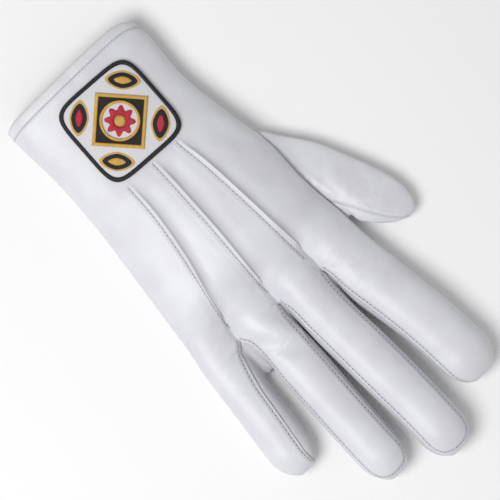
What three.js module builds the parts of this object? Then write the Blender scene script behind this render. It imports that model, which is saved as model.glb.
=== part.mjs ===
import * as THREE from "three";

// A white leather parade glove for the right hand, lying palm down.
// Millimetres. +X runs to the little finger, +Y to the fingertips and +Z up. The leather rests on Z = 0.

// Hand
const HAND_LENGTH = 157.5;
const HAND_WIDTH = 99;
const HAND_THICKNESS = 27;
const CROTCH_SLOPE = 10.5;

// Fingers
const INDEX_LENGTH = 80.8;
const INDEX_WIDTH = 26;
const INDEX_THICKNESS = 19;
const MIDDLE_LENGTH = 98.3;
const MIDDLE_WIDTH = 25;
const MIDDLE_THICKNESS = 20;
const RING_LENGTH = 86.8;
const RING_WIDTH = 24;
const RING_THICKNESS = 19;
const LITTLE_LENGTH = 55.7;
const LITTLE_WIDTH = 22.5;
const LITTLE_THICKNESS = 17;
const TIP_LENGTH = 14;

// Thumb
const THUMB_LENGTH = 80;
const THUMB_SPREAD = 33;
const THUMB_THICKNESS = 21;
const THUMB_HOLE_LENGTH = 58;
const THUMB_HOLE_START = 81;

// Leather and seams
const LEATHER = 1.2;
const HEM_WALL = 2.4;
const HEM_DEPTH = 5;
const SEAM_GAP = 0.3;
const TUCK_HEIGHT = 1.5;
const TUCK_HOLLOW = 0.4;
const TUCK_FROM_BADGE = 3;
const TUCK_RUN_IN = 10;

// Badge
const BADGE_WIDTH = 44;
const BADGE_LENGTH = 45;
const BADGE_FROM_CUFF = 34.2;
const BADGE_ASIDE = -1.2;
const BADGE_TURN = THREE.MathUtils.degToRad(-2.8);
const BADGE_GROUND = 1;
const BADGE_RIM_WIDTH = 1.8;
const BADGE_RIM_HEIGHT = 1.7;
const THREAD_HEIGHT = 0.7;
const LOZENGE_REACH = 17.5;
const LOZENGE_WIDTH = 1.7;
const RING_RADIUS = 9.6;
const RING_BAND = 1.3;
const ROSETTE_RADIUS = 7.4;
const BOSS_RADIUS = 2.6;
const LEAF_LENGTH = 8.5;
const LEAF_WIDTH = 3.6;
const BADGE_SQUARENESS = 5;
const CORNER_REACH = 0.83;
const PETALS = 8;
const PETAL_DEPTH = 0.16;
const LEAF_POWER = 1.5;

// Outline and height of the hand. along is a share of the hand's length, left and right of its width,
// top of its thickness.
const HAND_ROWS = [
  { along: 0.0, left: -0.384, right: 0.419, top: 0.74 },
  { along: 0.083, left: -0.392, right: 0.417, top: 0.75 },
  { along: 0.241, left: -0.377, right: 0.409, top: 0.76 },
  { along: 0.4, left: -0.406, right: 0.424, top: 0.86 },
  { along: 0.495, left: -0.431, right: 0.441, top: 0.94 },
  { along: 0.59, left: -0.46, right: 0.46, top: 1.0 },
  { along: 0.717, left: -0.465, right: 0.485, top: 1.0 },
  { along: 0.844, left: -0.467, right: 0.51, top: 0.94 },
  { along: 1.0, left: -0.485, right: 0.546, top: 0.8 },
];

// The three tuck lines on the back, across the hand. along is a share of the hand's length,
// and the lines are shares of its width.
const TUCK_ROWS = [
  { along: 0.0, index_side: -0.131, middle_side: 0.0, little_side: 0.141 },
  { along: 0.38, index_side: -0.152, middle_side: 0.0, little_side: 0.162 },
  { along: 0.5, index_side: -0.172, middle_side: 0.005, little_side: 0.172 },
  { along: 0.65, index_side: -0.187, middle_side: 0.015, little_side: 0.21 },
  { along: 0.81, index_side: -0.199, middle_side: 0.03, little_side: 0.263 },
  { along: 1.0, index_side: -0.215, middle_side: 0.041, little_side: 0.305 },
];
const TUCK_LINES = ["index_side", "middle_side", "little_side"];

// Each finger. root is the middle of its base as a share of the hand's width. In its rows, along is a share
// of its length, aside and width are shares of its width. The seams are shares of its half width.
const FINGERS = [
  {
    length: INDEX_LENGTH,
    width: INDEX_WIDTH,
    thickness: INDEX_THICKNESS,
    root: -0.343,
    rows: [
      { along: -0.35, aside: 0.03, width: 0.99 },
      { along: 0.0, aside: -0.023, width: 1.02 },
      { along: 0.16, aside: -0.062, width: 1.077 },
      { along: 0.316, aside: -0.135, width: 1.06 },
      { along: 0.56, aside: -0.24, width: 1.035 },
      { along: 0.81, aside: -0.298, width: 1.035 },
      { along: 1.0, aside: -0.3, width: 1.0 },
    ],
    seams: { back_left: -0.88, back_right: 0.76, palm_left: -0.85, palm_right: 0.85, roll: 0 },
  },
  {
    length: MIDDLE_LENGTH,
    width: MIDDLE_WIDTH,
    thickness: MIDDLE_THICKNESS,
    root: -0.086,
    rows: [
      { along: -0.3, aside: 0.0, width: 0.92 },
      { along: 0.0, aside: 0.006, width: 1.0 },
      { along: 0.16, aside: 0.016, width: 1.0 },
      { along: 0.36, aside: -0.012, width: 1.016 },
      { along: 0.565, aside: -0.038, width: 1.02 },
      { along: 0.77, aside: -0.048, width: 0.984 },
      { along: 1.0, aside: -0.03, width: 0.96 },
    ],
    seams: { back_left: -0.88, back_right: 0.76, palm_left: -0.85, palm_right: 0.85, roll: 0 },
  },
  {
    length: RING_LENGTH,
    width: RING_WIDTH,
    thickness: RING_THICKNESS,
    root: 0.172,
    rows: [
      { along: -0.34, aside: -0.115, width: 0.94 },
      { along: 0.0, aside: -0.025, width: 1.0 },
      { along: 0.12, aside: -0.037, width: 0.95 },
      { along: 0.29, aside: 0.004, width: 0.99 },
      { along: 0.52, aside: 0.048, width: 0.97 },
      { along: 0.75, aside: 0.077, width: 0.97 },
      { along: 1.0, aside: 0.083, width: 0.95 },
    ],
    seams: { back_left: -0.84, back_right: 0.88, palm_left: -0.85, palm_right: 0.85, roll: 0 },
  },
  {
    length: LITTLE_LENGTH,
    width: LITTLE_WIDTH,
    thickness: LITTLE_THICKNESS,
    root: 0.434,
    rows: [
      { along: -0.53, aside: -0.222, width: 1.06 },
      { along: 0.0, aside: 0.002, width: 0.982 },
      { along: 0.19, aside: 0.067, width: 0.978 },
      { along: 0.37, aside: 0.127, width: 0.99 },
      { along: 0.64, aside: 0.209, width: 1.022 },
      { along: 0.76, aside: 0.244, width: 1.004 },
      { along: 1.0, aside: 0.267, width: 0.96 },
    ],
    seams: { back_left: -0.6, back_right: 0.88, palm_left: -0.95, palm_right: 0.85, roll: 0.34 },
  },
];

// The thumb's two rails. The left rail is its outer silhouette and the right rail faces the index finger.
// left_along is a share of the thumb's length and right_past of the length past its hole. The places out
// are shares of its spread, and half is a share of its thickness.
const THUMB_ROWS = [
  { left_out: 0.12, left_along: 0.045, right_out: 0.14, right_past: 0.027, half: 0.45 },
  { left_out: 0.33, left_along: 0.17, right_out: 0.165, right_past: 0.077, half: 0.5 },
  { left_out: 0.54, left_along: 0.3, right_out: 0.18, right_past: 0.127, half: 0.52 },
  { left_out: 0.7, left_along: 0.445, right_out: 0.19, right_past: 0.196, half: 0.52 },
  { left_out: 0.84, left_along: 0.59, right_out: 0.2, right_past: 0.28, half: 0.5 },
  { left_out: 0.945, left_along: 0.715, right_out: 0.23, right_past: 0.382, half: 0.47 },
  { left_out: 1.0, left_along: 0.825, right_out: 0.33, right_past: 0.578, half: 0.42 },
  { left_out: 0.99, left_along: 0.912, right_out: 0.51, right_past: 0.818, half: 0.31 },
  { left_out: 0.92, left_along: 0.972, right_out: 0.68, right_past: 0.953, half: 0.17 },
  { left_out: 0.85, left_along: 0.995, right_out: 0.76, right_past: 0.996, half: 0 },
];
const THUMB_EASE = [0.55, 0.85];
const THUMB_DROP = 0.25;

// Shape of the sections
const HAND_POWER = 2.3;
const FINGER_POWER = 2.4;
const PALM_POWER = 3;
const PALM_FLATNESS = 1.06;
const FINGER_REST = 0.96;
const WIDEST_HEIGHT = 0.42;
const HAND_EDGE = 0.88;
const CROTCH_SHARE = 0.93;
const CROTCH_LEVEL = 0.45;
const TUCK_END_SHARE = 0.3;
const TUCK_FADE_FROM = 0.9;
const TIP_BLUNTNESS = 0.35;
const FINGERS_BLEND_FROM = 0.72;
const SLOPE_FROM = 0.6;

// Columns of the mesh. A back strip has two close columns beside each tuck, which end at the crotch.
const BACK_STRIPS = [
  { hand: [0, 0.2, 0.45, 0.69, 0.88, 0.95, 1], finger: [0, 0.25, 0.5, 0.75, 1, 1, 1] },
  { hand: [0, 0.05, 0.12, 0.31, 0.5, 0.69, 0.88, 0.95, 1], finger: [0, 0, 0, 0.25, 0.5, 0.75, 1, 1, 1] },
  { hand: [0, 0.05, 0.12, 0.31, 0.5, 0.69, 0.88, 0.95, 1], finger: [0, 0, 0, 0.25, 0.5, 0.75, 1, 1, 1] },
  { hand: [0, 0.05, 0.12, 0.31, 0.55, 0.8, 1], finger: [0, 0, 0, 0.25, 0.5, 0.75, 1] },
];
const PALM_STRIP = [0, 0.25, 0.5, 0.75, 1];
const SIDE_STEPS = 5;
const WEB_STEPS = 4;
const HEM_ROW_STEPS = 2;
const CUFF_ROW_STEPS = 5;
const WRIST_ROW_STEPS = 2;
const HOLE_ROW_STEPS = 6;
const KNUCKLE_ROW_STEPS = 3;
const FINGER_STATIONS = [0.1, 0.25, 0.45, 0.7, 1];
const TIP_ANGLES = [30, 55, 75, 90].map(THREE.MathUtils.degToRad);

// Finishes
const WHITE_LEATHER = { color: 0xeeeef0, roughness: 0.5, metalness: 0 };
const WHITE_SATIN = { color: 0xe3e3e6, roughness: 0.45, metalness: 0 };
const BLACK_THREAD = { color: 0x202326, roughness: 0.6, metalness: 0 };
const GOLD_THREAD = { color: 0xe0a030, roughness: 0.45, metalness: 0 };
const RED_THREAD = { color: 0xc92436, roughness: 0.5, metalness: 0 };

const { clamp, lerp, smoothstep } = THREE.MathUtils;

// The tucks start just past the badge.
const TUCK_START = BADGE_FROM_CUFF + BADGE_LENGTH / 2 + TUCK_FROM_BADGE;

// The value of a table's column at a place along it, on a smooth curve through its rows.
function read(table, column, along) {
  const last = table.length - 1;
  let i = 0;
  while (i < last - 1 && along > table[i + 1].along) i += 1;
  const a = table[i];
  const b = table[i + 1];
  const before = table[Math.max(i - 1, 0)];
  const after = table[Math.min(i + 2, last)];
  const span = b.along - a.along;
  const t = clamp((along - a.along) / span, 0, 1);
  const slopeA = (span * (b[column] - before[column])) / (b.along - before.along);
  const slopeB = (span * (after[column] - a[column])) / (after.along - a.along);
  const rise = t * t * (3 - 2 * t);
  const ease = t * (1 - t);
  return lerp(a[column], b[column], rise) + ease * ((1 - t) * slopeA - t * slopeB);
}

// A power that keeps the sign, for rounded rectangles.
function bulge(value, power) {
  return Math.sign(value) * Math.abs(value) ** power;
}

// The angle round a section at a share of its half width, on its back or its palm side.
function angleAt(share, power, onPalm) {
  const angle = Math.acos(clamp(bulge(share, power / 2), -1, 1));
  return onPalm ? 2 * Math.PI - angle : angle;
}

// How far a row that slopes down to the palm lies from its middle: -1 on the back to 1 on the palm.
function slopeShare(up) {
  return -clamp(up / CROTCH_LEVEL, -1, 1);
}

// The hand's section at a place along it.
function handSection(along) {
  const left = HAND_WIDTH * read(HAND_ROWS, "left", along);
  const right = HAND_WIDTH * read(HAND_ROWS, "right", along);
  const top = HAND_THICKNESS * read(HAND_ROWS, "top", along);
  return { middle: (left + right) / 2, half: (right - left) / 2, top, widest: WIDEST_HEIGHT * top };
}

// A point of the hand's surface at an angle round its section.
function handPoint(along, angle) {
  const { middle, half, top, widest } = handSection(along);
  const up = bulge(Math.sin(angle), 2 / HAND_POWER);
  const down = PALM_FLATNESS * Math.abs(Math.sin(angle)) ** (2 / PALM_POWER);
  const slope = CROTCH_SLOPE * smoothstep(along, SLOPE_FROM, 1);
  return new THREE.Vector3(
    middle + half * bulge(Math.cos(angle), 2 / HAND_POWER),
    HAND_LENGTH * along + slope * slopeShare(up),
    up > 0 ? lerp(widest, top, up) : widest * Math.max(0, 1 - down),
  );
}

// A point of a finger's surface. along is measured from the crotches, tip is 0 to 1 through the rounded end.
function fingerPoint(finger, along, tip, angle) {
  const rest = finger.thickness / 2;
  const half = (finger.width / 2) * read(finger.rows, "width", along);
  const narrow = Math.sqrt(1 - tip * tip * (1 - TIP_BLUNTNESS ** 2));
  const height = rest * Math.sqrt(1 - tip * tip);
  const up = bulge(Math.sin(angle), 2 / FINGER_POWER);
  const level = 1 - clamp(along / (1 - TIP_LENGTH / finger.length), 0, 1);
  const middle = HAND_WIDTH * finger.root + finger.width * read(finger.rows, "aside", along);
  return new THREE.Vector3(
    middle + half * narrow * bulge(Math.cos(angle), 2 / FINGER_POWER),
    HAND_LENGTH + finger.length * along + CROTCH_SLOPE * level * slopeShare(up),
    Math.max(0, FINGER_REST * rest + height * up),
  );
}

// The share of the half width at which a finger's seam lies. The seams come together at the crotches
// and at the ends of the fingertip.
function seamShare(finger, seam, along, tip) {
  const share = finger.seams[seam];
  if (along <= 0) return Math.sign(share) * Math.max(CROTCH_SHARE, Math.abs(share));
  const rolled = seam === "back_left" ? share + finger.seams.roll * along : share;
  return lerp(rolled, Math.sign(share), tip ** 4);
}

// The angle round a finger for a place: on its back or palm by a fraction from left to right,
// on a side by a fraction from the back down to the palm.
function fingerAngle(finger, place, along, tip) {
  const at = (seam, onPalm) => angleAt(seamShare(finger, seam, along, tip), FINGER_POWER, onPalm);
  if (place.on === "right") {
    const bottom = at("palm_right", true) - 2 * Math.PI;
    return lerp(at("back_right", false), bottom, place.fraction);
  }
  if (place.on === "left") return lerp(at("back_left", false), at("palm_left", true), place.fraction);
  const from = seamShare(finger, place.on + "_left", along, tip);
  const to = seamShare(finger, place.on + "_right", along, tip);
  return angleAt(lerp(from, to, place.fraction), FINGER_POWER, place.on === "palm");
}

// The angle round the hand for the same place, so that each column runs on into its finger.
function handAngle(index, place, along) {
  const { middle, half } = handSection(along);
  const onPalm = place.on === "palm";
  const top = angleAt(HAND_EDGE, HAND_POWER, false);
  const bottom = angleAt(HAND_EDGE, HAND_POWER, true) - 2 * Math.PI;
  if (place.on === "right") return lerp(top, bottom, place.fraction);
  if (place.on === "left") return Math.PI - lerp(top, bottom, place.fraction);
  const line = (i) => (HAND_WIDTH * read(TUCK_ROWS, TUCK_LINES[i], along) - middle) / half;
  const from = index === 0 ? -HAND_EDGE : line(index - 1);
  const to = index === FINGERS.length - 1 ? HAND_EDGE : line(index);
  return angleAt(lerp(from, to, place.fraction), HAND_POWER, onPalm);
}

// The columns round the hand: the back from index to little finger, down its outer side,
// the palm back again and up the outer side of the index finger.
function handColumns() {
  const columns = [];
  const add = (finger, on, fraction, more) => columns.push({ finger, on, fraction, ...more });
  const lastFinger = FINGERS.length - 1;
  BACK_STRIPS.forEach((strip, finger) => {
    strip.hand.forEach((fraction, i) => {
      const shared = fraction === 1 && finger < lastFinger;
      const lift = tuckLift(strip, i, finger);
      if (fraction > 0 || finger === 0) add(finger, "back", fraction, { step: i, lift, shared });
    });
  });
  for (let i = 1; i < SIDE_STEPS; i += 1) add(lastFinger, "right", i / SIDE_STEPS, {});
  for (let finger = lastFinger; finger >= 0; finger -= 1) {
    for (let i = PALM_STRIP.length - 1; i >= 0; i -= 1) {
      const shared = i === 0 && finger > 0;
      const first = finger === lastFinger || i < PALM_STRIP.length - 1;
      if (first) add(finger, "palm", PALM_STRIP[i], { step: i, shared });
    }
  }
  for (let i = SIDE_STEPS - 1; i > 0; i -= 1) add(0, "left", i / SIDE_STEPS, {});
  return columns;
}

// How far a column beside a tuck stands up. A tuck leans: it has a hollow on its thumb side.
function tuckLift(strip, i, finger) {
  const fromEnd = strip.hand.length - 1 - i;
  if (fromEnd === 0) return finger < FINGERS.length - 1 ? TUCK_HEIGHT : 0;
  if (fromEnd === 1 && finger < FINGERS.length - 1) return -TUCK_HOLLOW;
  if (i === 1 && finger > 0) return TUCK_HEIGHT / 2;
  return 0;
}

// The place of a column on another finger, for the columns that two fingers share.
function twin(column) {
  const next = column.on === "back" ? column.finger + 1 : column.finger - 1;
  return { finger: next, on: column.on, fraction: column.on === "back" ? 0 : 1 };
}

// The rows along the hand, as shares of its length, and the first and last row of the thumb hole.
function handRows() {
  const hole = [THUMB_HOLE_START / HAND_LENGTH, (THUMB_HOLE_START + THUMB_HOLE_LENGTH) / HAND_LENGTH];
  const hem = HEM_DEPTH / HAND_LENGTH;
  const marks = [0, hem, TUCK_START / HAND_LENGTH, hole[0], hole[1], 1];
  const steps = [HEM_ROW_STEPS, CUFF_ROW_STEPS, WRIST_ROW_STEPS, HOLE_ROW_STEPS, KNUCKLE_ROW_STEPS];
  const rows = [0];
  steps.forEach((count, part) => {
    for (let i = 1; i <= count; i += 1) rows.push(lerp(marks[part], marks[part + 1], i / count));
  });
  const holeStart = HEM_ROW_STEPS + CUFF_ROW_STEPS + WRIST_ROW_STEPS;
  return { rows, holeStart, holeEnd: holeStart + HOLE_ROW_STEPS };
}

// A list of points that joins those which coincide, and a function that gives a point's number in it.
const JOIN_PER_MM = 1e4;
function joinedPoints() {
  const list = [];
  const numbers = new Map();
  const numberOf = (point) => {
    const name = point.toArray().map((value) => Math.round(value * JOIN_PER_MM)).join(",");
    if (!numbers.has(name)) {
      numbers.set(name, list.length);
      list.push(point);
    }
    return numbers.get(name);
  };
  return { list, numberOf };
}
const { list: points, numberOf: pointIndex } = joinedPoints();

// Splits the quad a b c d in two, leaving out a triangle that has closed to a line.
function quad(faces, a, b, c, d) {
  [[a, b, c], [a, c, d]].forEach((face) => {
    if (new Set(face).size === 3) faces.push(face);
  });
}

const columns = handColumns();
const { rows: handShares, holeStart, holeEnd } = handRows();
const holeColumnFirst = columns.findIndex((column) => column.on === "left") - 1;
const crotchRow = handShares.length - 1;

// A point on the hand, blended into the fingers' bases as the crotches come near.
function gloveHandPoint(along, column, angleShift) {
  const blend = smoothstep(along, FINGERS_BLEND_FROM, 1);
  const fingerAt = (place) => {
    const finger = FINGERS[place.finger];
    const reach = ((along - 1) * HAND_LENGTH) / finger.length;
    const point = fingerPoint(finger, reach, 0, fingerAngle(finger, place, 0, 0));
    return point;
  };
  const onHand = handPoint(along, handAngle(column.finger, column, along) + angleShift);
  let onFinger = fingerAt(column);
  if (column.shared) onFinger = onFinger.add(fingerAt(twin(column))).multiplyScalar(0.5);
  const point = onHand.lerp(onFinger, blend);
  const rise = smoothstep(along * HAND_LENGTH, TUCK_START, TUCK_START + TUCK_RUN_IN);
  const fade = lerp(1, TUCK_END_SHARE, smoothstep(along, TUCK_FADE_FROM, 1));
  point.z += (column.lift ?? 0) * rise * fade;
  return point;
}

// The thumb hole is round: inside it the grid of rows and columns is drawn in to an oval.
const holeSpan = SIDE_STEPS;
const holeWide = handAngle(0, { on: "left", fraction: 1 }, 1) - handAngle(0, { on: "left", fraction: 0 }, 1);
function drawnIn(row, columnNumber) {
  const offset = columnNumber - holeColumnFirst;
  const a = (2 * (row - holeStart)) / HOLE_ROW_STEPS - 1;
  const b = (2 * offset) / holeSpan - 1;
  if (Math.abs(a) > 1 || offset < 0 || offset > holeSpan) return null;
  return { a, b, along: a * Math.sqrt(1 - (b * b) / 2), round: b * Math.sqrt(1 - (a * a) / 2) };
}

function handGrid() {
  const ring = [];
  for (let row = 0; row <= crotchRow; row += 1) {
    ring.push(columns.map((column, i) => {
      const number = i === 0 ? columns.length : i;
      const hole = drawnIn(row, number);
      if (!hole) return pointIndex(gloveHandPoint(handShares[row], column, 0));
      const middle = (handShares[holeStart] + handShares[holeEnd]) / 2;
      const along = middle + (hole.along * THUMB_HOLE_LENGTH) / 2 / HAND_LENGTH;
      const shift = ((hole.b - hole.round) * holeWide) / 2;
      return pointIndex(gloveHandPoint(along, column, shift));
    }));
  }
  return ring;
}

// The rows of one finger past the crotches: how far along it each lies, and how far into its rounded end.
function fingerRows(finger) {
  const straight = 1 - TIP_LENGTH / finger.length;
  const rows = FINGER_STATIONS.map((share) => ({ along: straight * share, tip: 0 }));
  TIP_ANGLES.forEach((angle) => {
    const tip = Math.sin(angle);
    rows.push({ along: straight + (tip * TIP_LENGTH) / finger.length, tip });
  });
  return rows;
}

// The columns of one finger's strip, each with the hand column that it starts from.
function strip(number, on) {
  const lists = { back: BACK_STRIPS[number].finger, palm: PALM_STRIP };
  return lists[on].map((fraction, step) => {
    const start = columns.findIndex((column) => {
      if (column.on !== on) return false;
      if (column.finger === number && column.step === step) return true;
      const other = column.shared ? twin(column) : null;
      const end = other && other.fraction === 1 ? lists[on].length - 1 : 0;
      return other !== null && other.finger === number && step === end;
    });
    return { on, fraction, start };
  });
}

const gloveGrid = handGrid();
const trankFaces = [];
const holeFaces = [];
const gapFaces = [[], [], []];

for (let row = 0; row < crotchRow; row += 1) {
  columns.forEach((column, i) => {
    const next = (i + 1) % columns.length;
    const inHole = row >= holeStart && row < holeEnd && i >= holeColumnFirst;
    const faces = inHole ? holeFaces : trankFaces;
    quad(faces, gloveGrid[row][i], gloveGrid[row][next], gloveGrid[row + 1][next], gloveGrid[row + 1][i]);
  });
}

FINGERS.forEach((finger, number) => {
  const pointsOf = (places, start) => {
    const grid = [places.map(start)];
    fingerRows(finger).forEach(({ along, tip }) => {
      grid.push(places.map((place) => {
        return pointIndex(fingerPoint(finger, along, tip, fingerAngle(finger, place, along, tip)));
      }));
    });
    return grid;
  };
  const fill = (faces, grid, turned) => {
    for (let row = 0; row + 1 < grid.length; row += 1) {
      for (let i = 0; i + 1 < grid[row].length; i += 1) {
        const [near, far] = turned ? [i + 1, i] : [i, i + 1];
        quad(faces, grid[row][near], grid[row][far], grid[row + 1][far], grid[row + 1][near]);
      }
    }
  };
  const crotch = (place) => gloveGrid[crotchRow][place.start];
  const back = strip(number, "back");
  const palm = strip(number, "palm");
  fill(trankFaces, pointsOf(back, crotch), false);
  fill(trankFaces, pointsOf(palm, crotch), true);
  ["left", "right"].forEach((on) => {
    const outer = (on === "left" && number === 0) || (on === "right" && number === FINGERS.length - 1);
    const steps = outer ? SIDE_STEPS : WEB_STEPS;
    const ends = [back, palm].map((places) => places[on === "left" ? 0 : places.length - 1].start);
    const places = [];
    for (let i = 0; i <= steps; i += 1) places.push({ on, fraction: i / steps, step: i });
    const start = (place) => {
      if (place.step === 0) return gloveGrid[crotchRow][ends[0]];
      if (place.step === steps) return gloveGrid[crotchRow][ends[1]];
      if (outer) {
        const column = columns.findIndex((c) => c.on === on && c.fraction === place.fraction);
        return gloveGrid[crotchRow][column];
      }
      const [top, bottom] = ends.map((end) => points[gloveGrid[crotchRow][end]]);
      return pointIndex(top.clone().lerp(bottom, place.fraction));
    };
    const faces = outer ? trankFaces : gapFaces[on === "left" ? number - 1 : number];
    fill(faces, pointsOf(places, start), on === "left");
  });
});

// The normal at each point, from all the faces that meet there.
function normalsOf(pointList, faceList) {
  const normals = pointList.map(() => new THREE.Vector3());
  faceList.forEach(([a, b, c]) => {
    const edge = pointList[b].clone().sub(pointList[a]);
    const face = edge.cross(pointList[c].clone().sub(pointList[a]));
    [a, b, c].forEach((i) => normals[i].add(face));
  });
  return normals.map((normal) => normal.normalize());
}

// The edges of a sheet that only one face uses, each with the direction into the sheet.
function rimOf(pointList, faces) {
  const edges = new Map();
  faces.forEach((face) => {
    face.forEach((from, i) => {
      const to = face[(i + 1) % 3];
      const back = to + ">" + from;
      if (edges.has(back)) edges.delete(back);
      else edges.set(from + ">" + to, { from, to, face });
    });
  });
  return [...edges.values()].map(({ from, to, face }) => {
    const [a, b, c] = face.map((i) => pointList[i]);
    const normal = b.clone().sub(a).cross(c.clone().sub(a)).normalize();
    const along = pointList[to].clone().sub(pointList[from]).normalize();
    return { from, to, inward: normal.cross(along) };
  });
}

// Moves the rim of a sheet inward, which leaves the seam's gap to the piece that it is sewn to.
function trimmed(pointList, faces, gap) {
  const rim = rimOf(pointList, faces);
  const moved = pointList.map((point) => point.clone());
  const sums = new Map();
  rim.forEach(({ from, to, inward }) => {
    [from, to].forEach((i) => sums.set(i, (sums.get(i) ?? new THREE.Vector3()).add(inward)));
  });
  const sharpest = 0.35;
  rim.forEach(({ from, inward }) => {
    const direction = sums.get(from).clone().normalize();
    moved[from].addScaledVector(direction, gap / Math.max(sharpest, direction.dot(inward)));
  });
  return moved;
}

// A closed shell: the sheet, the same sheet set in by the wall, and a strip round every edge. Two sheets that
// share an edge split its strip the same way, so that they stay apart.
function shell(pointList, faces, normals, wallAt) {
  const used = [...new Set(faces.flat())];
  const place = new Map(used.map((i, n) => [i, n]));
  const inner = used.length;
  const vertices = used.map((i) => pointList[i].clone());
  used.forEach((i) => vertices.push(pointList[i].clone().addScaledVector(normals[i], -wallAt(pointList[i]))));
  const triangles = [];
  faces.forEach(([a, b, c]) => {
    const [p, q, r] = [a, b, c].map((i) => place.get(i));
    triangles.push([p, q, r], [p + inner, r + inner, q + inner]);
  });
  rimOf(pointList, faces).forEach(({ from, to }) => {
    const [p, q] = [place.get(from), place.get(to)];
    if (from < to) triangles.push([p, p + inner, q + inner], [p, q + inner, q]);
    else triangles.push([p, p + inner, q], [q, p + inner, q + inner]);
  });
  return geometryOf(vertices, triangles);
}

function geometryOf(vertices, triangles) {
  const geometry = new THREE.BufferGeometry().setFromPoints(vertices);
  geometry.setIndex(triangles.flat());
  geometry.computeVertexNormals();
  return geometry;
}

const glove = new THREE.Group();
glove.name = "parade_glove";

function add(name, geometry, finish) {
  const mesh = new THREE.Mesh(geometry, new THREE.MeshStandardMaterial(finish));
  mesh.name = name;
  glove.add(mesh);
}

// The leather is twice as thick in the hem, which is turned in.
function leatherAt(point) {
  return point.y < HEM_DEPTH - SEAM_GAP ? HEM_WALL : LEATHER;
}

// Trank: back, palm and the backs and palms of the fingers, in one piece
const leatherNormals = normalsOf(points, [...trankFaces, ...holeFaces, ...gapFaces.flat()]);
add("trank", shell(points, trankFaces, leatherNormals, leatherAt), WHITE_LEATHER);

// Fourchettes: the strips between the fingers
["fourchette_index_middle", "fourchette_middle_ring", "fourchette_ring_little"].forEach((name, i) => {
  const set = trimmed(points, gapFaces[i], SEAM_GAP);
  add(name, shell(set, gapFaces[i], leatherNormals, () => LEATHER), WHITE_LEATHER);
});

// Thumb: its first row is the rim of the thumb hole
function thumb() {
  const loop = [];
  for (let row = holeStart; row < holeEnd; row += 1) loop.push([row, columns.length]);
  for (let i = columns.length; i > holeColumnFirst; i -= 1) loop.push([holeEnd, i]);
  for (let row = holeEnd; row > holeStart; row -= 1) loop.push([row, holeColumnFirst]);
  for (let i = holeColumnFirst; i < columns.length; i += 1) loop.push([holeStart, i]);
  const rim = loop.map(([row, i]) => points[gloveGrid[row][i % columns.length]]);
  const turns = loop.map(([row, i]) => {
    const { along, round } = drawnIn(row, i);
    return Math.atan2(round, along);
  });
  const root = HAND_WIDTH * read(HAND_ROWS, "left", THUMB_HOLE_START / HAND_LENGTH);
  const holeEndAt = THUMB_HOLE_START + THUMB_HOLE_LENGTH;
  const free = THUMB_LENGTH - THUMB_HOLE_LENGTH;
  const pointList = rim.map((point) => point.clone());
  THUMB_ROWS.forEach((row, number) => {
    const left = [root - THUMB_SPREAD * row.left_out, THUMB_HOLE_START + THUMB_LENGTH * row.left_along];
    const right = [root - THUMB_SPREAD * row.right_out, holeEndAt + free * row.right_past];
    const high = THUMB_THICKNESS * row.half;
    turns.forEach((turn, i) => {
      const across = (1 + bulge(Math.cos(turn), 2 / FINGER_POWER)) / 2;
      const up = bulge(Math.sin(turn), 2 / FINGER_POWER);
      const level = (FINGER_REST * THUMB_THICKNESS) / 2 - THUMB_DROP * (THUMB_THICKNESS / 2 - high);
      const point = new THREE.Vector3(
        lerp(left[0], right[0], across),
        lerp(left[1], right[1], across),
        Math.max(0, level + high * up),
      );
      const ease = THUMB_EASE[number] ?? 1;
      pointList.push(rim[i].clone().lerp(point, ease));
    });
  });
  return { pointList, count: loop.length };
}

function thumbShell() {
  const { pointList, count } = thumb();
  const { list: joined, numberOf } = joinedPoints();
  const index = pointList.map(numberOf);
  const faces = [];
  for (let row = 0; row < THUMB_ROWS.length; row += 1) {
    for (let i = 0; i < count; i += 1) {
      const next = (i + 1) % count;
      const at = (r, c) => index[r * count + c];
      quad(faces, at(row, i), at(row, next), at(row + 1, next), at(row + 1, i));
    }
  }
  const normals = normalsOf(joined, faces);
  return shell(trimmed(joined, faces, SEAM_GAP), faces, normals, () => LEATHER);
}
add("thumb", thumbShell(), WHITE_LEATHER);

// Badge: plates that follow the curve of the back. Each is laid out round its own middle.
const BADGE_SPOKES = 32;
const badgeMiddle = new THREE.Vector2(BADGE_ASIDE, BADGE_FROM_CUFF);

function onBack(x, y, lift) {
  const { middle, half } = handSection(y / HAND_LENGTH);
  const point = handPoint(y / HAND_LENGTH, angleAt((x - middle) / half, HAND_POWER, false));
  point.z += lift;
  return point;
}

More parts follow.
